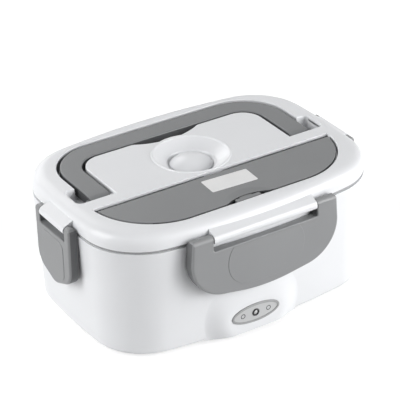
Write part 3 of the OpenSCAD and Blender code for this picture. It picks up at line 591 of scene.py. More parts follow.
def makeCover():
    print("cutlery cover")
    c = cover
    lowZ = greyTopZ - c["thickness"]
    swing = math.degrees(math.atan2(c["notchHalf"], c["notchRadius"] - (c["notchY"] - c["front"])))
    radius = recess["radius"]
    up = math.degrees(math.asin((c["rear"] - recess["middle"]) / radius))
    piece = startPoint("cutleryCover", (0, c["notchY"], lowZ))
    turn((0, c["notchY"] - c["notchRadius"], lowZ), -swing, 12)
    goTo(recess["ends"] - c["notchHalf"], 0)
    turn((recess["ends"], recess["middle"], lowZ), 90 + up, 28)
    goTo(-recess["ends"] - radius * math.cos(math.radians(up)), 0)
    fill(mirror(piece, x=True))
    roundPoints(piece, c["notchRound"], 5, lambda v: isNear(abs(v.co.x), c["notchHalf"])
                and isNear(v.co.y, c["front"]))
    raiseFace(piece, c["thickness"] - c["edge"], roundOver(c["edge"], 4))
    for name, thick, end, sides in (("knuckle", c["knuckle"], c["half"], 48),
                                    ("pin", c["pinRadius"], c["pinEnd"], 24)):
        start = (-end, c["rear"], lidTopZ - c["hingeDrop"])
        join(piece, rodSolid(name, thick, start, 2 * end, sides=sides))
    ball = c["dishBall"]
    spread = math.degrees(math.asin(c["dishRadius"] / ball))
    bowl = arcPoints((0, greyTopZ + ball * math.cos(math.radians(spread))), ball, -90, -90 + spread * 1.1, 12)
    bowl.append((0, bowl[-1][1] + c["dishRoom"]))
    combine(piece, lathe("bowl", bowl, (0, c["dishY"]), 160))
    half = c["tabHalf"]
    join(piece, boxSolid("bridge", (-c["bridgeHalf"], c["front"] + c["bridgeIn"], lowZ),
                         (c["bridgeHalf"], c["notchY"] + mm, lowZ + c["bridge"])))
    tab = rectanglePlan("tab", -half, half, c["front"] + c["tabIn"], c["tabRear"], lowZ, c["tabCorner"])
    join(piece, raiseFace(tab, c["tabHeight"] - c["tabEdge"], roundOver(c["tabEdge"], 3)))
    finishPiece(tidy(piece), "cutlery_lid", "coverGrey", ("cutlery_cover",), 30)

    # side and under faces in front of the notch, except the tab's, take the near-black grey as painted shade
    # for the gap round the tab
    def inGapPaintedShade(face):
        at = face.center
        onTab = at.y < c["tabRear"] + c["near"] and abs(at.x) < half + c["near"]
        return (face.normal.z < steep and at.z > lowZ - c["near"] and at.y < c["notchY"] + c["notchNear"]
                and not onTab)

    shadeFaces(piece, "paintedGapShade", inGapPaintedShade)


def makeLabel():
    print("blank label")
    s = label
    piece = platePlan("blankLabel", s["width"], s["depth"], s["corner"])
    raiseFace(piece, s["thickness"] * 0.6, [(s["edge"], s["thickness"] * 0.4)])
    movePiece(turnPiece(piece, s["turned"]), s["x"], s["y"], greyTopZ)
    finishPiece(piece, "cutlery_lid", "labelWhite")


# steam plug and seal

plug = {**lengths(radius=15.4, rim=0.5, dome=5.4, edge=0.3, stem=5.7, stemLength=6, chamfer=0.5),
        "domeShare": 0.94}
seal = lengths(inner=13.3, edge=0.5, cutHeight=5)


def makePlug():
    print("steam plug")
    p = plug
    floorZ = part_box("steam_plug")[0].z + p["stemLength"]
    ball = (p["radius"] ** 2 + p["dome"] ** 2) / (2 * p["dome"])
    middleZ = floorZ + p["rim"] + p["dome"] - ball
    reach = math.degrees(math.acos((floorZ + p["rim"] - middleZ) / ball))
    profile = arcPoints((0, middleZ), ball, 90, 90 - reach * p["domeShare"], 20)
    profile += arcPoints((p["radius"] - p["edge"], floorZ + p["edge"]), p["edge"], 40, -90, 8)
    profile += [(p["stem"], floorZ), (p["stem"], floorZ - p["stemLength"] + p["chamfer"]),
                (p["stem"] - p["chamfer"], floorZ - p["stemLength"]), (0, floorZ - p["stemLength"])]
    finishPiece(lathe("steamDome", profile, (0, vent["y"])), "vent", "ventWhite",
                ("steam_plug",), 35)


def makeSeal():
    print("seal band")
    edge = seal["edge"]
    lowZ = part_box("lid_seal")[0].z
    piece = outlineSolid("sealBand", -sealInset - edge, lowZ, edge * 0.2,
                         [(-edge * 0.7, edge * 0.3), (-edge * 0.3, edge * 0.5),
                          (0, seamZ - lowZ - 1.5 * edge), (edge * 0.4, edge * 0.5)])
    combine(piece, outlineSolid("inside", -seal["inner"], lowZ - mm, seal["cutHeight"]))
    finishPiece(tidy(piece), "lid", "sealGrey", ("lid_seal",), 30)


# clips

clips = {"front": lengths(reach=81.0, width=119, corner=29.5, window=42, lip=83, topIn=1,
                          panel=(31, 45.5, 85, 19)),
         "side": lengths(reach=115.1, width=46, corner=15, window=17, lip=33, topIn=-0.4,
                         panel=(14.6, 46, 76.6, 6))}
clipForm = lengths(low=39.4, belly=3.6, depth=14, barIn=3.7, hornRadius=3.4, cornerAbove=3, topCorner=3.2,
                   edge=1.9, wall=2.2, innerEdge=1.2, lap=0.01, panelStep=0.3, panelThick=0.5, keepUnder=5,
                   gap=0.6, topGap=0.5, topRoom=20, bar=1.9, barOver=2, shelf=77, shelfRoom=0.8,
                   windowLow=79.2, windowTop=12, windowRadius=2.2, windowOut=0.6, windowFlare=1,
                   windowDeep=20, toothTop=73.7, toothHeight=3, toothIn=1.1, toothBack=0.3,
                   catchLow=74, catchFront=0.6, catchBack=8, catchEdge=0.5, catchGap=0.5)
catchShare, toothShare = 0.42, 0.4  # half widths of ledge and tooth, as shares of the lip's width


# face of a clip seen from outside, lying flat: x along the lip, y for height
def clipPlan(name, kind, inset, topZ):
    k, f = clips[kind], clipForm
    half, corner = k["width"] / 2, k["corner"]
    bellyX = half - corner
    bellyRadius = (bellyX ** 2 + f["belly"] ** 2) / (2 * f["belly"])
    bellyZ, cornerZ = f["low"] + bellyRadius, f["low"] + f["belly"] + corner
    dx, dz = bellyX, cornerZ - bellyZ
    lean = math.degrees(math.atan2(dx, -dz) - math.acos((bellyRadius - corner) / math.hypot(dx, dz)))
    slope = math.radians(lean)
    piece = startPoint(name, (0, f["low"] + inset, 0))
    turn((0, bellyZ, 0), lean, 12)
    goTo(dx + (corner - bellyRadius) * math.sin(slope), dz - (corner - bellyRadius) * math.cos(slope))
    turn((bellyX, cornerZ, 0), 90 - lean, 20)
    share = min(1.0, (topZ - cornerZ) / (rollZ - cornerZ))
    goTo(-k["topIn"] * share, min(topZ, rollZ) - cornerZ)
    if topZ > rollZ:
        goTo(0, topZ - rollZ)
    goTo(-(half - k["topIn"] * share - inset), 0)
    return fill(mirror(piece, x=True))


# stands a flat piece up so that its height runs up and its thickness towards -Y, its face ending at y
def standUp(piece, y):
    return movePiece(turnPiece(piece, 90, "X"), y=y)


# a clip without its bar and tooth: belly, raised panel, round horns, hollow back and window
def clipBody(name, kind, faceY):
    k, f = clips[kind], clipForm
    outerY = faceY - f["panelStep"]
    body = clipPlan(name, kind, 0, rollZ + f["hornRadius"])
    roundPoints(body, f["topCorner"], 6,
                lambda v: v.co.y > rollZ + f["cornerAbove"] and abs(v.co.x) > k["width"] / 4)
    piece = standUp(raiseFace(body, f["depth"] - f["edge"], roundOver(f["edge"], 6)), faceY + f["depth"])
    half, low, high, corner = k["panel"]
    panel = raiseFace(rectanglePlan("panel", -half, half, low, high, 0, corner, 12), f["panelThick"],
                      roundOver(f["panelStep"], 3))
    join(piece, standUp(panel, faceY + f["panelThick"]))
    # the horns are round about the bar, and all below them stays
    keep = boxSolid("keep", (-k["width"], outerY - mm, f["low"] - f["keepUnder"]),
                    (k["width"], outerY + f["depth"] + mm, rollZ))
    hornIn = f["barIn"] - f["panelStep"]
    horn = rodSolid("horn", hornIn, (-k["width"], -k["reach"], 0), 2 * k["width"], sides=96)
    horn.scale = (1, 1, f["hornRadius"] / hornIn)
    horn.location.z = rollZ
    bpy.ops.object.transform_apply(location=True, scale=True)
    combine(piece, join(keep, horn), "INTERSECT")
    inner = raiseFace(clipPlan("inner", kind, f["wall"], f["shelf"]), f["depth"] - f["wall"] - f["innerEdge"],
                      roundOver(f["innerEdge"], 4))
    combine(piece, standUp(inner, faceY + f["depth"] + f["lap"]))
    window = rectanglePlan("window", -k["window"] - mm, k["window"] + mm, f["windowLow"] - mm,
                           rollZ + f["windowTop"], 0, f["windowRadius"])
    raiseFace(window, f["windowOut"], flareIn(f["windowFlare"], 5) + [(0, f["windowDeep"])])
    return combine(piece, movePiece(turnPiece(turnPiece(window, 90, "X"), 180), y=faceY - f["windowOut"]))


def makeClip(side, kind, angle):
    print(side, "clip")
    k, f = clips[kind], clipForm
    outerY = -k["reach"] - f["barIn"]
    piece = clipBody(side + "Clip", kind, outerY + f["panelStep"])
    turnPiece(piece, angle)
    combine(piece, outlineSolid("below", f["gap"], 0, seamZ))
    combine(piece, outlineSolid("above", f["topGap"], seamZ - mm, f["topRoom"]))
    turnPiece(piece, -angle)
    catch, tooth = k["lip"] * catchShare + f["catchGap"], k["lip"] * toothShare
    combine(piece, boxSolid("room", (-catch, -k["reach"] + f["toothBack"], 0),
                            (catch, 0, f["shelf"] + f["shelfRoom"])))
    end = k["window"] + f["barOver"]
    join(piece, rodSolid("bar", f["bar"], (-end, -k["reach"], rollZ), 2 * end))
    join(piece, boxSolid("tooth", (-tooth, outerY + f["toothIn"], f["toothTop"] - f["toothHeight"]),
                         (tooth, -k["reach"] + f["toothBack"], f["toothTop"])))
    turnPiece(piece, angle)
    finishPiece(tidy(piece), side + "_catch", "clipGrey", (side + "_clip",), 32)
    outward = Vector((math.sin(math.radians(angle)), -math.cos(math.radians(angle)), 0))
    # faces that don't face outwards or up take a darker grey: painted shade on the clip's ends, underside and
    # inside
    shadeFaces(piece, "paintedClipShade", lambda face: face.normal.dot(outward) < steep and face.normal.z < 0.5)


# base

base = lengths(taper=4, underRadius=4, rimStep=0.4, wall=2.4, ledge=3.4, floor=2.4, step=9, stepHeight=1.4,
               opening=12, openingTop=5, lap=2)
indicator = {**lengths(length=39, height=14.5, sink=1, out=1.6, border=1.5, field=0.45, edge=0.4, slope=0.15,
                       gap=0.25, holeDepth=20, bossFront=(21.5, 8.6, 20), bossFoot=(40, 40, 34), bossBack=3,
                       bossSink=0.1, bossLow=0.4, underBox=(60, 100, 30)), "bossSteps": 20}
lamp = lengths(radius=2.5, gap=0.05, hole=4.5, drillFrom=-100, drillLength=40, ring=2.9, ringRise=0.12,
               bandAt=2.2, bandRise=0.1, bandRadius=0.6, well=1.6, wellDepth=0.5, lensBall=2.3,
               lensMiddle=-1.9, lens=1.55, lensLow=-0.45)
mark = lengths(x=10.5, radius=1.9, width=0.6, slope=0.05, rise=0.06)
inlet = lengths(width=31, height=16.5, corner=3, y=77.62, z=13, edge=0.8, padDepth=8, holeWidth=21.4,
                holeHeight=12.9, holeY=59.1, holeDepth=40)


def ovalPlan(name, halfX, halfY, sides=72):
    selectNone()
    bpy.ops.mesh.primitive_circle_add(vertices=sides, radius=1, fill_type="NGON")
    bpy.context.object.scale = (halfX, halfY, 1)
    bpy.ops.object.transform_apply(location=True, scale=True)
    return named(bpy.context.object, name)


# a flat piece of the inlet stood up at the rear, raised away from the wall
def atInlet(piece, y):
    return movePiece(turnPiece(piece, -90, "X"), y=y, z=inlet["z"])


def makeBase():
    print("base shell")
    b, n, i = base, inlet, indicator
    height = rimZ - underZ
    draw = b["taper"] * (1 - b["underRadius"] / height)
    shell = outlineSolid("baseShell", 0, rimZ, -b["rimStep"],
                         [(draw, height - b["rimStep"] - b["underRadius"])] + roundOver(b["underRadius"], 8))
    for grow, top, bottom in ((-b["wall"], rimZ + mm, rimZ - b["ledge"]),
                              (-b["taper"] - b["wall"], rimZ - b["lap"], underZ + b["floor"]),
                              (-b["step"], underZ + b["stepHeight"], underZ - b["lap"]),
                              (-b["opening"], underZ + b["openingTop"], underZ - b["lap"])):
        combine(shell, outlineSolid("cut", grow, top, bottom - top))
    join(shell, makeBoss(-halfDepth + b["taper"]))
    pad = raiseFace(platePlan("pad", n["width"], n["height"], n["corner"]), n["padDepth"],
                    roundOver(n["edge"], 4))
    join(shell, atInlet(pad, n["y"] - n["padDepth"] - n["edge"]))
    addLedges(shell)
    panelHole = ovalPlan("panelHole", i["length"] / 2 + i["gap"], i["height"] / 2 + i["gap"])
    combine(shell, onPanel(raiseFace(panelHole, i["holeDepth"]), panelBackY))
    combine(shell, lampDrill(lamp["hole"]))
    hole = raiseFace(platePlan("hole", n["holeWidth"], n["holeHeight"], n["corner"]), n["holeDepth"])
    combine(shell, atInlet(hole, n["holeY"]))
    finishPiece(tidy(shell), "base", "whiteShell", ("base_shell",), 32)


# the ledges of the base that the clips' teeth hook under
def addLedges(shell):
    f = clipForm
    for kind, k in clips.items():
        half, reach = k["lip"] * catchShare, k["reach"]
        for angle in lips[kind]["turns"]:
            ledge = boxSolid("ledge", (-half, -reach + f["catchFront"], f["catchLow"]),
                             (half, -reach + f["catchBack"], f["shelf"]))
            softenEdges(ledge, f["catchEdge"], 2)
            join(shell, turnPiece(ledge, angle))


# the swelling of the front wall that carries the oval plate, built up in rings from the wall outwards
def makeBoss(wallY):
    i = indicator
    selectNone()
    rings = []
    front = wallY - panelBackY + i["sink"]
    for step in [-1] + list(range(i["bossSteps"] + 1)):
        share = max(0, step) / i["bossSteps"]
        half, above, below = (foot + (end - foot) * share for foot, end in zip(i["bossFoot"], i["bossFront"]))
        rise = 3 * share ** 2 - 2 * share ** 3  # slow at both ends
        ring = ovalRing()
        for vertex in ring.data.vertices:
            vertex.co.x *= half
            vertex.co.y *= above if vertex.co.y > 0 else below
            wall = (base["taper"] * (panelAt.z + vertex.co.y - underZ) / (rimZ - underZ) - i["bossSink"]
                    - (panelAt.x + vertex.co.x) ** 2 / (2 * plan["bowRadius"]))
            vertex.co.z = -i["bossBack"] if step < 0 else wall * (1 - rise) + front * rise
        rings.append(ring)
    pick(*rings)
    bpy.ops.object.join()
    boss = named(bpy.context.object, "boss")
    edit(boss, "EDGE")
    bpy.ops.mesh.bridge_edge_loops()
    for z in (-i["bossBack"], front):
        choose(boss, "edges", lambda e: isLevel(e, z))
        bpy.ops.mesh.edge_face_add()
    onPanel(tidy(boss), wallY)
    boxHalf, boxFront, boxLow = i["underBox"]
    under = boxSolid("under", (-boxHalf, -boxFront, -boxLow), (boxHalf, 0, underZ + i["bossLow"]))
    return combine(boss, under)


def ovalRing(sides=72):
    bpy.ops.mesh.primitive_circle_add(vertices=sides, radius=1, fill_type="NOTHING")
    return bpy.context.object


# stands a flat piece up in front of the indicator's middle
def onPanel(piece, y):
    return movePiece(standUp(piece, y), panelAt.x, 0, panelAt.z)


def lampDrill(radius):
    return rodSolid("drill", radius, (panelAt.x, lamp["drillFrom"], panelAt.z), lamp["drillLength"], "Y")


def makeIndicator():
    print("indicator")
    i, s, r = indicator, lamp, mark["radius"]
    plate = ovalPlan("indicatorPlate", i["length"] / 2, i["height"] / 2)
    raiseFace(plate, i["out"] - i["edge"], roundOver(i["edge"], 4)
              + [(i["border"] - i["edge"], 0), (i["slope"], -i["field"])])
    combine(onPanel(plate, panelBackY), lampDrill(s["radius"] + s["gap"]))
    finishPiece(plate, "base", "panelRim", ("indicator_panel",), 35)
    fieldY = panelBackY - i["out"] + i["field"]
    shadeFaces(plate, "panelField", lambda face: isNear(face.center.y, fieldY))
    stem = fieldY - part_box("indicator_lamp")[1].y
    ring = [(0, stem), (s["radius"], stem), (s["radius"], 0), (s["ring"], 0), (s["ring"], s["ringRise"])]
    ring += arcPoints((s["bandAt"], s["bandRise"]), s["bandRadius"], 20, 150, 8)
    ring += [(s["well"], s["bandRise"]), (s["well"], -s["wellDepth"]), (0, -s["wellDepth"])]
    lens = arcPoints((0, s["lensMiddle"]), s["lensBall"], 90, 48, 8)
    lens += [(s["lens"], s["lensLow"]), (0, s["lensLow"])]
    ringPiece, lensPiece = lathe("lampRing", ring, (0, 0), 64), lathe("lampLens", lens, (0, 0), 48)
    finishPiece(onPanel(ringPiece, fieldY), "base", "lampBlack", ("indicator_lamp",))
    finishPiece(onPanel(lensPiece, fieldY), "base", "lampLens")
    inner, rise = r - mark["width"], mark["rise"]
    profile = [(inner, 0), (inner + mark["slope"], rise), (r - mark["slope"], rise), (r, 0), (inner, 0)]
    for name, x in (("markLeft", -mark["x"]), ("markRight", mark["x"])):
        finishPiece(onPanel(lathe(name, profile, (x, 0), 48), fieldY), "base", "markGrey")


# steel tray

tray = lengths(inset=11.2, wall=0.8, fillet=8, rimInset=4.4, rim=1, edge=0.4, foot=0.1, flare=0.3, side=0.2,
               mouth=0.8)


def makeTray():
    print("steel tray")
    t = tray
    low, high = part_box("food_container")[0].z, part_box("food_container")[1].z
    piece = outlineSolid("foodTray", -t["inset"], high - t["rim"] / 2,
                         low + t["fillet"] - high + t["rim"] / 2, roundOver(t["fillet"], 9))
    rim = outlineSolid("rim", -t["rimInset"] - t["edge"], high - t["rim"], t["foot"],
                       [(-t["edge"], t["flare"]), (0, t["side"])] + roundOver(t["edge"], 4))
    join(piece, rim)
    inside = t["inset"] + t["wall"]
    combine(piece, outlineSolid("inside", -inside + t["mouth"], high + t["foot"], -t["foot"],
                                flareIn(t["mouth"], 4) + [(0, high - low - t["fillet"] - t["wall"])]
                                + roundOver(t["fillet"] - t["wall"], 9)))
    finishPiece(tidy(piece), "tray", "traySteel", ("food_container",), 32)


# finishes

def link(tree, source, target):
    tree.links.new(source, target)


# gives a node's sockets their values, or links them to where the values come from
def feed(tree, node, values):
    for key, value in values.items():
        if isinstance(value, bpy.types.NodeSocket):
            link(tree, value, node.inputs[key])
        else:
            node.inputs[key].default_value = value
    return node


def newGroup(name, inputs, outputs):
    tree = bpy.data.node_groups.new(name, "ShaderNodeTree")
    for direction, sockets in (("INPUT", inputs), ("OUTPUT", outputs)):
        for title, kind, *value in sockets:
            socket = tree.interface.new_socket(title, in_out=direction, socket_type="NodeSocket" + kind)
            if value:
                socket.default_value = value[0]
    return tree, tree.nodes.new("NodeGroupInput"), tree.nodes.new("NodeGroupOutput")


def addNode(tree, kind, **values):
    node = tree.nodes.new("ShaderNode" + kind)
    for key, value in values.items():
        setattr(node, key, value)
    return node


def mathNode(tree, operation, a, b):
    return feed(tree, addNode(tree, "Math", operation=operation), {0: a, 1: b}).outputs[0]


def noiseNode(tree, vector, scale, detail, rough):
    values = {"Vector": vector, "Scale": scale, "Detail": detail, "Roughness": rough}
    return feed(tree, addNode(tree, "TexNoise"), values).outputs["Fac"]


def rangeNode(tree, value, low, high, toLow, toHigh):
    values = {"Value": value, "From Min": low, "From Max": high, "To Min": toLow, "To Max": toHigh}
    return feed(tree, addNode(tree, "MapRange"), values).outputs["Result"]


def shadeColour(tree, colour, factor):
    node = addNode(tree, "Mix", data_type="RGBA", blend_type="MULTIPLY")
    return feed(tree, node, {"Factor": 1.0, "A": colour, "B": factor}).outputs["Result"]


# noises are scale, detail and roughness; ranges are what comes in and what it becomes
mouldedForm = {"cloud": (2.0, 0.45), "tone": (0.35, 0.65), "grain": (2.0, 0.6),
               "streakScale": (260, 1500, 700), "streakTurn": (0.2, 0.1, 0.5),
               "streak": (1.0, 4.0, 0.65), "rub": (0.58, 0.75),
               "patch": (60.0, 2.0, 0.5), "patchRange": (0.4, 0.65, 0.15, 1.0),
               "soften": (0.3, 0.7, -0.02, 0.02), "wave": (45.0, 1.0, 0.4), "bump": 0.04 * mm}
brushedForm = {"lines": (1.0, 3.0, 0.6), "cloud": (30.0, 3.0, 0.5), "tone": (0.35, 0.65), "depth": 0.3,
               "spread": (0.3, 0.7, -0.06, 0.08), "bump": 0.02 * mm}


# moulded plastic: faint cloudy tone, slow flow waves, fine grain and light rub marks
def mouldedSkin():
    tree, start, end = newGroup(
        "mouldedSkin",
        [("Vector", "Vector"), ("Colour", "Color", (0.8, 0.8, 0.8, 1)), ("Tone Change", "Float", 0.03),
         ("Cloud Scale", "Float", 22.0), ("Grain Scale", "Float", 1800.0), ("Grain Height", "Float", 0.2),
         ("Wave Height", "Float", 0.4), ("Roughness", "Float", 0.3), ("Rub Marks", "Float", 0.06)],
        [("Colour", "Color"), ("Roughness", "Float"), ("Height", "Float")])
    at, f = start.outputs, mouldedForm
    cloud = noiseNode(tree, at["Vector"], at["Cloud Scale"], *f["cloud"])
    low = mathNode(tree, "SUBTRACT", 1.0, at["Tone Change"])
    tone = rangeNode(tree, cloud, *f["tone"], low, 1.0)
    grain = noiseNode(tree, at["Vector"], at["Grain Scale"], *f["grain"])
    streak = feed(tree, addNode(tree, "Mapping"),
                  {"Vector": at["Vector"], "Scale": f["streakScale"], "Rotation": f["streakTurn"]})
    rub = rangeNode(tree, noiseNode(tree, streak.outputs[0], *f["streak"]), *f["rub"], 0.0, at["Rub Marks"])
    patch = rangeNode(tree, noiseNode(tree, at["Vector"], *f["patch"]), *f["patchRange"])
    rub = mathNode(tree, "MULTIPLY", rub, patch)
    soft = rangeNode(tree, cloud, *f["soften"])
    rough = mathNode(tree, "ADD", mathNode(tree, "ADD", at["Roughness"], rub), soft)
    wave = mathNode(tree, "MULTIPLY", noiseNode(tree, at["Vector"], *f["wave"]), at["Wave Height"])
    fine = mathNode(tree, "MULTIPLY", grain, at["Grain Height"])
    feed(tree, end, {"Colour": shadeColour(tree, at["Colour"], tone), "Roughness": rough,
                     "Height": mathNode(tree, "ADD", wave, fine)})
    return tree


# brushed or rolled metal: fine lines along one way, with cloudy tarnish
def brushedSkin():
    tree, start, end = newGroup(
        "brushedSkin",
        [("Vector", "Vector"), ("Colour", "Color", (0.6, 0.6, 0.6, 1)),
         ("Line Scale", "Vector", (40, 2600, 2600)), ("Tone Change", "Float", 0.12),
         ("Roughness", "Float", 0.28), ("Line Depth", "Float", 0.3)],
        [("Colour", "Color"), ("Roughness", "Float"), ("Height", "Float")])
    at, f = start.outputs, brushedForm
    stretch = feed(tree, addNode(tree, "VectorMath", operation="MULTIPLY"),
                   {0: at["Vector"], 1: at["Line Scale"]})
    lines = noiseNode(tree, stretch.outputs[0], *f["lines"])
    cloud = noiseNode(tree, at["Vector"], *f["cloud"])
    low = mathNode(tree, "SUBTRACT", 1.0, at["Tone Change"])
    both = mathNode(tree, "MULTIPLY", mathNode(tree, "ADD", lines, cloud), 0.5)
    tone = rangeNode(tree, both, *f["tone"], low, 1.0)
    rough = mathNode(tree, "ADD", at["Roughness"], rangeNode(tree, lines, *f["spread"]))
    feed(tree, end, {"Colour": shadeColour(tree, at["Colour"], tone), "Roughness": rough,
                     "Height": mathNode(tree, "MULTIPLY", lines, at["Line Depth"])})
    return tree


groups = {"moulded": mouldedSkin(), "brushed": brushedSkin()}
finishes = {}


def makeMaterial(name, group, values, bump, **shader):
    material = bpy.data.materials.new(name)
    material.use_nodes = True
    tree = material.node_tree
    skin = addNode(tree, "Group", node_tree=groups[group])
    feed(tree, skin, {"Vector": addNode(tree, "TexCoord").outputs["Object"], **values})
    relief = feed(tree, addNode(tree, "Bump"),
                  {"Distance": bump, "Strength": 1.0, "Height": skin.outputs["Height"]})
    feed(tree, tree.nodes["Principled BSDF"],
         {"Base Color": skin.outputs["Colour"], "Roughness": skin.outputs["Roughness"],
          "Normal": relief.outputs["Normal"], **{key.replace("_", " "): shader[key] for key in shader}})
    finishes[name] = material


def plastic(name, colour, roughness, tone=0.03, grain=0.2, wave=0.4, rub=0.06, cloud=22.0, **shader):
    makeMaterial(name, "moulded",
                 {"Colour": (*colour, 1), "Roughness": roughness, "Tone Change": tone, "Grain Height": grain,
                  "Wave Height": wave, "Rub Marks": rub, "Cloud Scale": cloud}, mouldedForm["bump"], **shader)


def metal(name, colour, roughness, lines=(40, 2600, 2600), tone=0.12):
    makeMaterial(name, "brushed",
                 {"Colour": (*colour, 1), "Roughness": roughness, "Line Scale": lines, "Tone Change": tone,
                  "Line Depth": brushedForm["depth"]}, brushedForm["bump"], Metallic=1.0)


print("finishes")
plastic("whiteShell", (0.83, 0.84, 0.86), 0.34, tone=0.015, rub=0.05, Coat_Weight=0.15, Coat_Roughness=0.2)
plastic("linerWhite", (0.78, 0.79, 0.8), 0.5, tone=0.03)
plastic("handleGrey", (0.195, 0.2, 0.205), 0.42, tone=0.05, grain=0.35, rub=0.1)
plastic("coverGrey", (0.213, 0.218, 0.223), 0.42, tone=0.05, grain=0.35, rub=0.1)
plastic("clipGrey", (0.268, 0.273, 0.279), 0.4, tone=0.04, grain=0.3, rub=0.1)
# darker copies of the grey plastics used as painted shade: the first for the handle's sides and the gap round
# the cover's tab, the second for the clips' ends, undersides and insides
plastic("paintedGapShade", (0.07, 0.072, 0.075), 0.5, tone=0.05, grain=0.35, rub=0.1)
plastic("paintedClipShade", (0.13, 0.133, 0.137), 0.45, tone=0.04, grain=0.3, rub=0.1)
plastic("sealGrey", (0.36, 0.366, 0.372), 0.6, tone=0.08, grain=0.5, wave=0.7)
plastic("ventWhite", (0.84, 0.85, 0.87), 0.3, tone=0.02)
plastic("labelWhite", (0.86, 0.86, 0.86), 0.55, tone=0.03, grain=0.3, cloud=60.0)
metal("traySteel", (0.6, 0.6, 0.61), 0.24)
metal("cutlerySteel", (0.64, 0.64, 0.65), 0.14, tone=0.06)
metal("pinSteel", (0.6, 0.61, 0.62), 0.3, (2600, 2600, 40))
metal("plateAluminium", (0.74, 0.75, 0.76), 0.38, (2600, 40, 2600))
plastic("heaterFilm", (0.42, 0.24, 0.08), 0.35, tone=0.2, wave=1.0, cloud=80.0)
metal("zincScrew", (0.55, 0.56, 0.58), 0.36, (900, 900, 200), 0.2)
plastic("darkPlastic", (0.035, 0.036, 0.04), 0.45, tone=0.15, grain=0.5)
metal("fuseCase", (0.66, 0.6, 0.5), 0.34, (40, 2000, 2000))
plastic("wireRed", (0.42, 0.05, 0.035), 0.45, tone=0.12, grain=0.4)
plastic("wireDark", (0.04, 0.04, 0.05), 0.45, tone=0.12, grain=0.4)
plastic("boardGreen", (0.05, 0.18, 0.08), 0.4, tone=0.2, grain=0.4, cloud=300.0)
plastic("panelRim", (0.36, 0.365, 0.37), 0.35, tone=0.04)
plastic("panelField", (0.56, 0.565, 0.57), 0.38, tone=0.04, grain=0.4)
plastic("lampBlack", (0.02, 0.02, 0.022), 0.22, tone=0.1)
plastic("lampLens", (0.75, 0.75, 0.75), 0.1, tone=0.2, Coat_Weight=0.6)
plastic("markGrey", (0.06, 0.06, 0.065), 0.4, tone=0.1)
metal("plugBrass", (0.72, 0.58, 0.3), 0.26, (2600, 40, 2600))
plastic("footRubber", (0.05, 0.05, 0.052), 0.8, tone=0.15, grain=1.0)

# the finish of each node that is shown as the frame brings it
carried = {
    "lid_liner": "linerWhite", "handle_pins": "pinSteel", "spoon": "cutlerySteel", "fork": "cutlerySteel",
    "well_liner": "linerWhite", "heating_plate": "plateAluminium", "ptc_heater": "heaterFilm",
    "heater_clamp": "pinSteel", "clamp_screws": "zincScrew", "thermostat": "darkPlastic",
    "thermal_fuse": "fuseCase", "supply_wires": "wireRed", "lamp_wires": "wireDark",
    "lamp_board": "boardGreen", "power_inlet": "darkPlastic", "inlet_pins": "plugBrass",
    "bottom_cover": "whiteShell", "bottom_screws": "zincScrew", "rubber_feet": "footRubber",
}


def dressFrame():
    for node, finish in carried.items():
        slots = nodes[node].data.materials
        slots.clear()
        slots.append(finishes[finish])


# camera, light and floor

# the focal length and the shift are in pixels of the photo, the sensor in millimetres
view = {**lengths(across=2.6, up=54.97, distance=1426.46, lift=2.4), "azimuth": -32.13, "elevation": 29.69,
        "roll": -1.18, "photoWidth": 400, "focal": 1972.31, "shift": (-5.01, 0.33), "sensor": 36}
softboxes = {"left": {"at": (-1.6, 0.3, 0.7), "side": 1.2, "power": 19.8},
             "leftTop": {"at": (-1.6, 0.5, 1.5), "side": 1.2, "power": 11.5},
             "front": {"at": (0.9, -1.6, 0.5), "side": 1.1, "power": 18.4},
             "frontRight": {"at": (1.4, -1.2, 0.8), "side": 1.1, "power": 25.3},
             "rear": {"at": (0, 1.8, 1.0), "side": 1.3, "power": 13}}
aimAt = Vector((0, 0, 0.05))
surround = {"ambient": 0.0, "tint": (0.96, 0.98, 1, 1), "seen": (1, 1, 1, 1)}
ground = {"half": 3.0, "diffuse": 0.62, "glow": 0.62}


def makeCamera():
    az, el, roll = (math.radians(view[k]) for k in ("azimuth", "elevation", "roll"))
    back = Vector((math.sin(az) * math.cos(el), -math.cos(az) * math.cos(el), math.sin(el)))
    right = Vector((math.cos(az), math.sin(az), 0))
    up = back.cross(right)
    r = math.cos(roll) * right + math.sin(roll) * up
    u = -math.sin(roll) * right + math.cos(roll) * up
    place = r * view["across"] + u * view["up"] + back * view["distance"] + Vector((0, 0, view["lift"]))
    data = bpy.data.cameras.new("camera")
    data.sensor_width = view["sensor"]
    data.lens = view["focal"] / view["photoWidth"] * view["sensor"]
    data.shift_x, data.shift_y = (pixels / view["photoWidth"] for pixels in view["shift"])
    camera = bpy.data.objects.new("camera", data)
    camera.matrix_world = Matrix.Translation(place) @ Matrix((r, u, back)).transposed().to_4x4()
    bpy.context.scene.collection.objects.link(camera)
    bpy.context.scene.camera = camera


def makeSoftbox(name, values):
    data = bpy.data.lights.new(name, "AREA")
    data.shape = "RECTANGLE"
    data.size = data.size_y = values["side"]
    data.energy = values["power"]
    softbox = bpy.data.objects.new(name, data)
    softbox.location = values["at"]
    softbox.rotation_euler = (Vector(values["at"]) - aimAt).to_track_quat("Z", "Y").to_euler()
    bpy.context.scene.collection.objects.link(softbox)


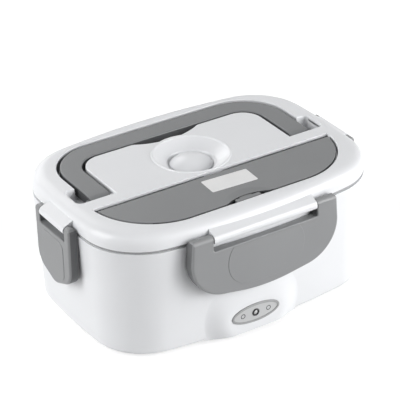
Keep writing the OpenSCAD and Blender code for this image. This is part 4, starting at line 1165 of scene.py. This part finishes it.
# white where the camera, a reflection or glass looks past the object
def seenDirectly(tree):
    path = addNode(tree, "LightPath")
    seen = mathNode(tree, "MAXIMUM", path.outputs["Is Camera Ray"], path.outputs["Is Glossy Ray"])
    return mathNode(tree, "MAXIMUM", seen, path.outputs["Is Transmission Ray"])


# the nodes of a new world or material, without the ones it comes with
def emptyTree(owner):
    owner.use_nodes = True
    owner.node_tree.nodes.clear()
    return owner.node_tree


# one shader for what lights the object, another for what is seen directly
def splitBySight(tree, outputKind, lighting, seen):
    mix = feed(tree, addNode(tree, "MixShader"),
               {0: seenDirectly(tree), 1: lighting.outputs[0], 2: seen.outputs[0]})
    feed(tree, addNode(tree, outputKind), {"Surface": mix.outputs[0]})


def makeWorld():
    world = bpy.data.worlds.new("studioWorld")
    tree = emptyTree(world)
    lighting = feed(tree, addNode(tree, "Background"),
                    {"Color": surround["tint"], "Strength": surround["ambient"]})
    seen = feed(tree, addNode(tree, "Background"), {"Color": surround["seen"]})
    splitBySight(tree, "OutputWorld", lighting, seen)
    bpy.context.scene.world = world


def makeFloor():
    selectNone()
    bpy.ops.mesh.primitive_plane_add(size=2 * ground["half"])
    floor = named(bpy.context.object, "floor")
    material = bpy.data.materials.new("floorWhite")
    tree = emptyTree(material)
    matte = feed(tree, addNode(tree, "BsdfDiffuse"), {"Color": (ground["diffuse"],) * 3 + (1,)})
    glow = feed(tree, addNode(tree, "Emission"), {"Strength": ground["glow"]})
    both = feed(tree, addNode(tree, "AddShader"), {0: matte.outputs[0], 1: glow.outputs[0]})
    splitBySight(tree, "OutputMaterial", matte, both)
    floor.data.materials.append(material)


# build

print("camera and studio")
bpy.context.scene.view_settings.view_transform = "Standard"
makeCamera()
for name, values in softboxes.items():
    makeSoftbox(name, values)
makeWorld()
makeFloor()
dressFrame()
makeLid()
makeHandle()
makeCover()
makeLabel()
makePlug()
makeSeal()
for side, kind, angle in (("front", "front", 0), ("rear", "front", 180),
                          ("left", "side", 270), ("right", "side", 90)):
    makeClip(side, kind, angle)
makeBase()
makeIndicator()
makeTray()
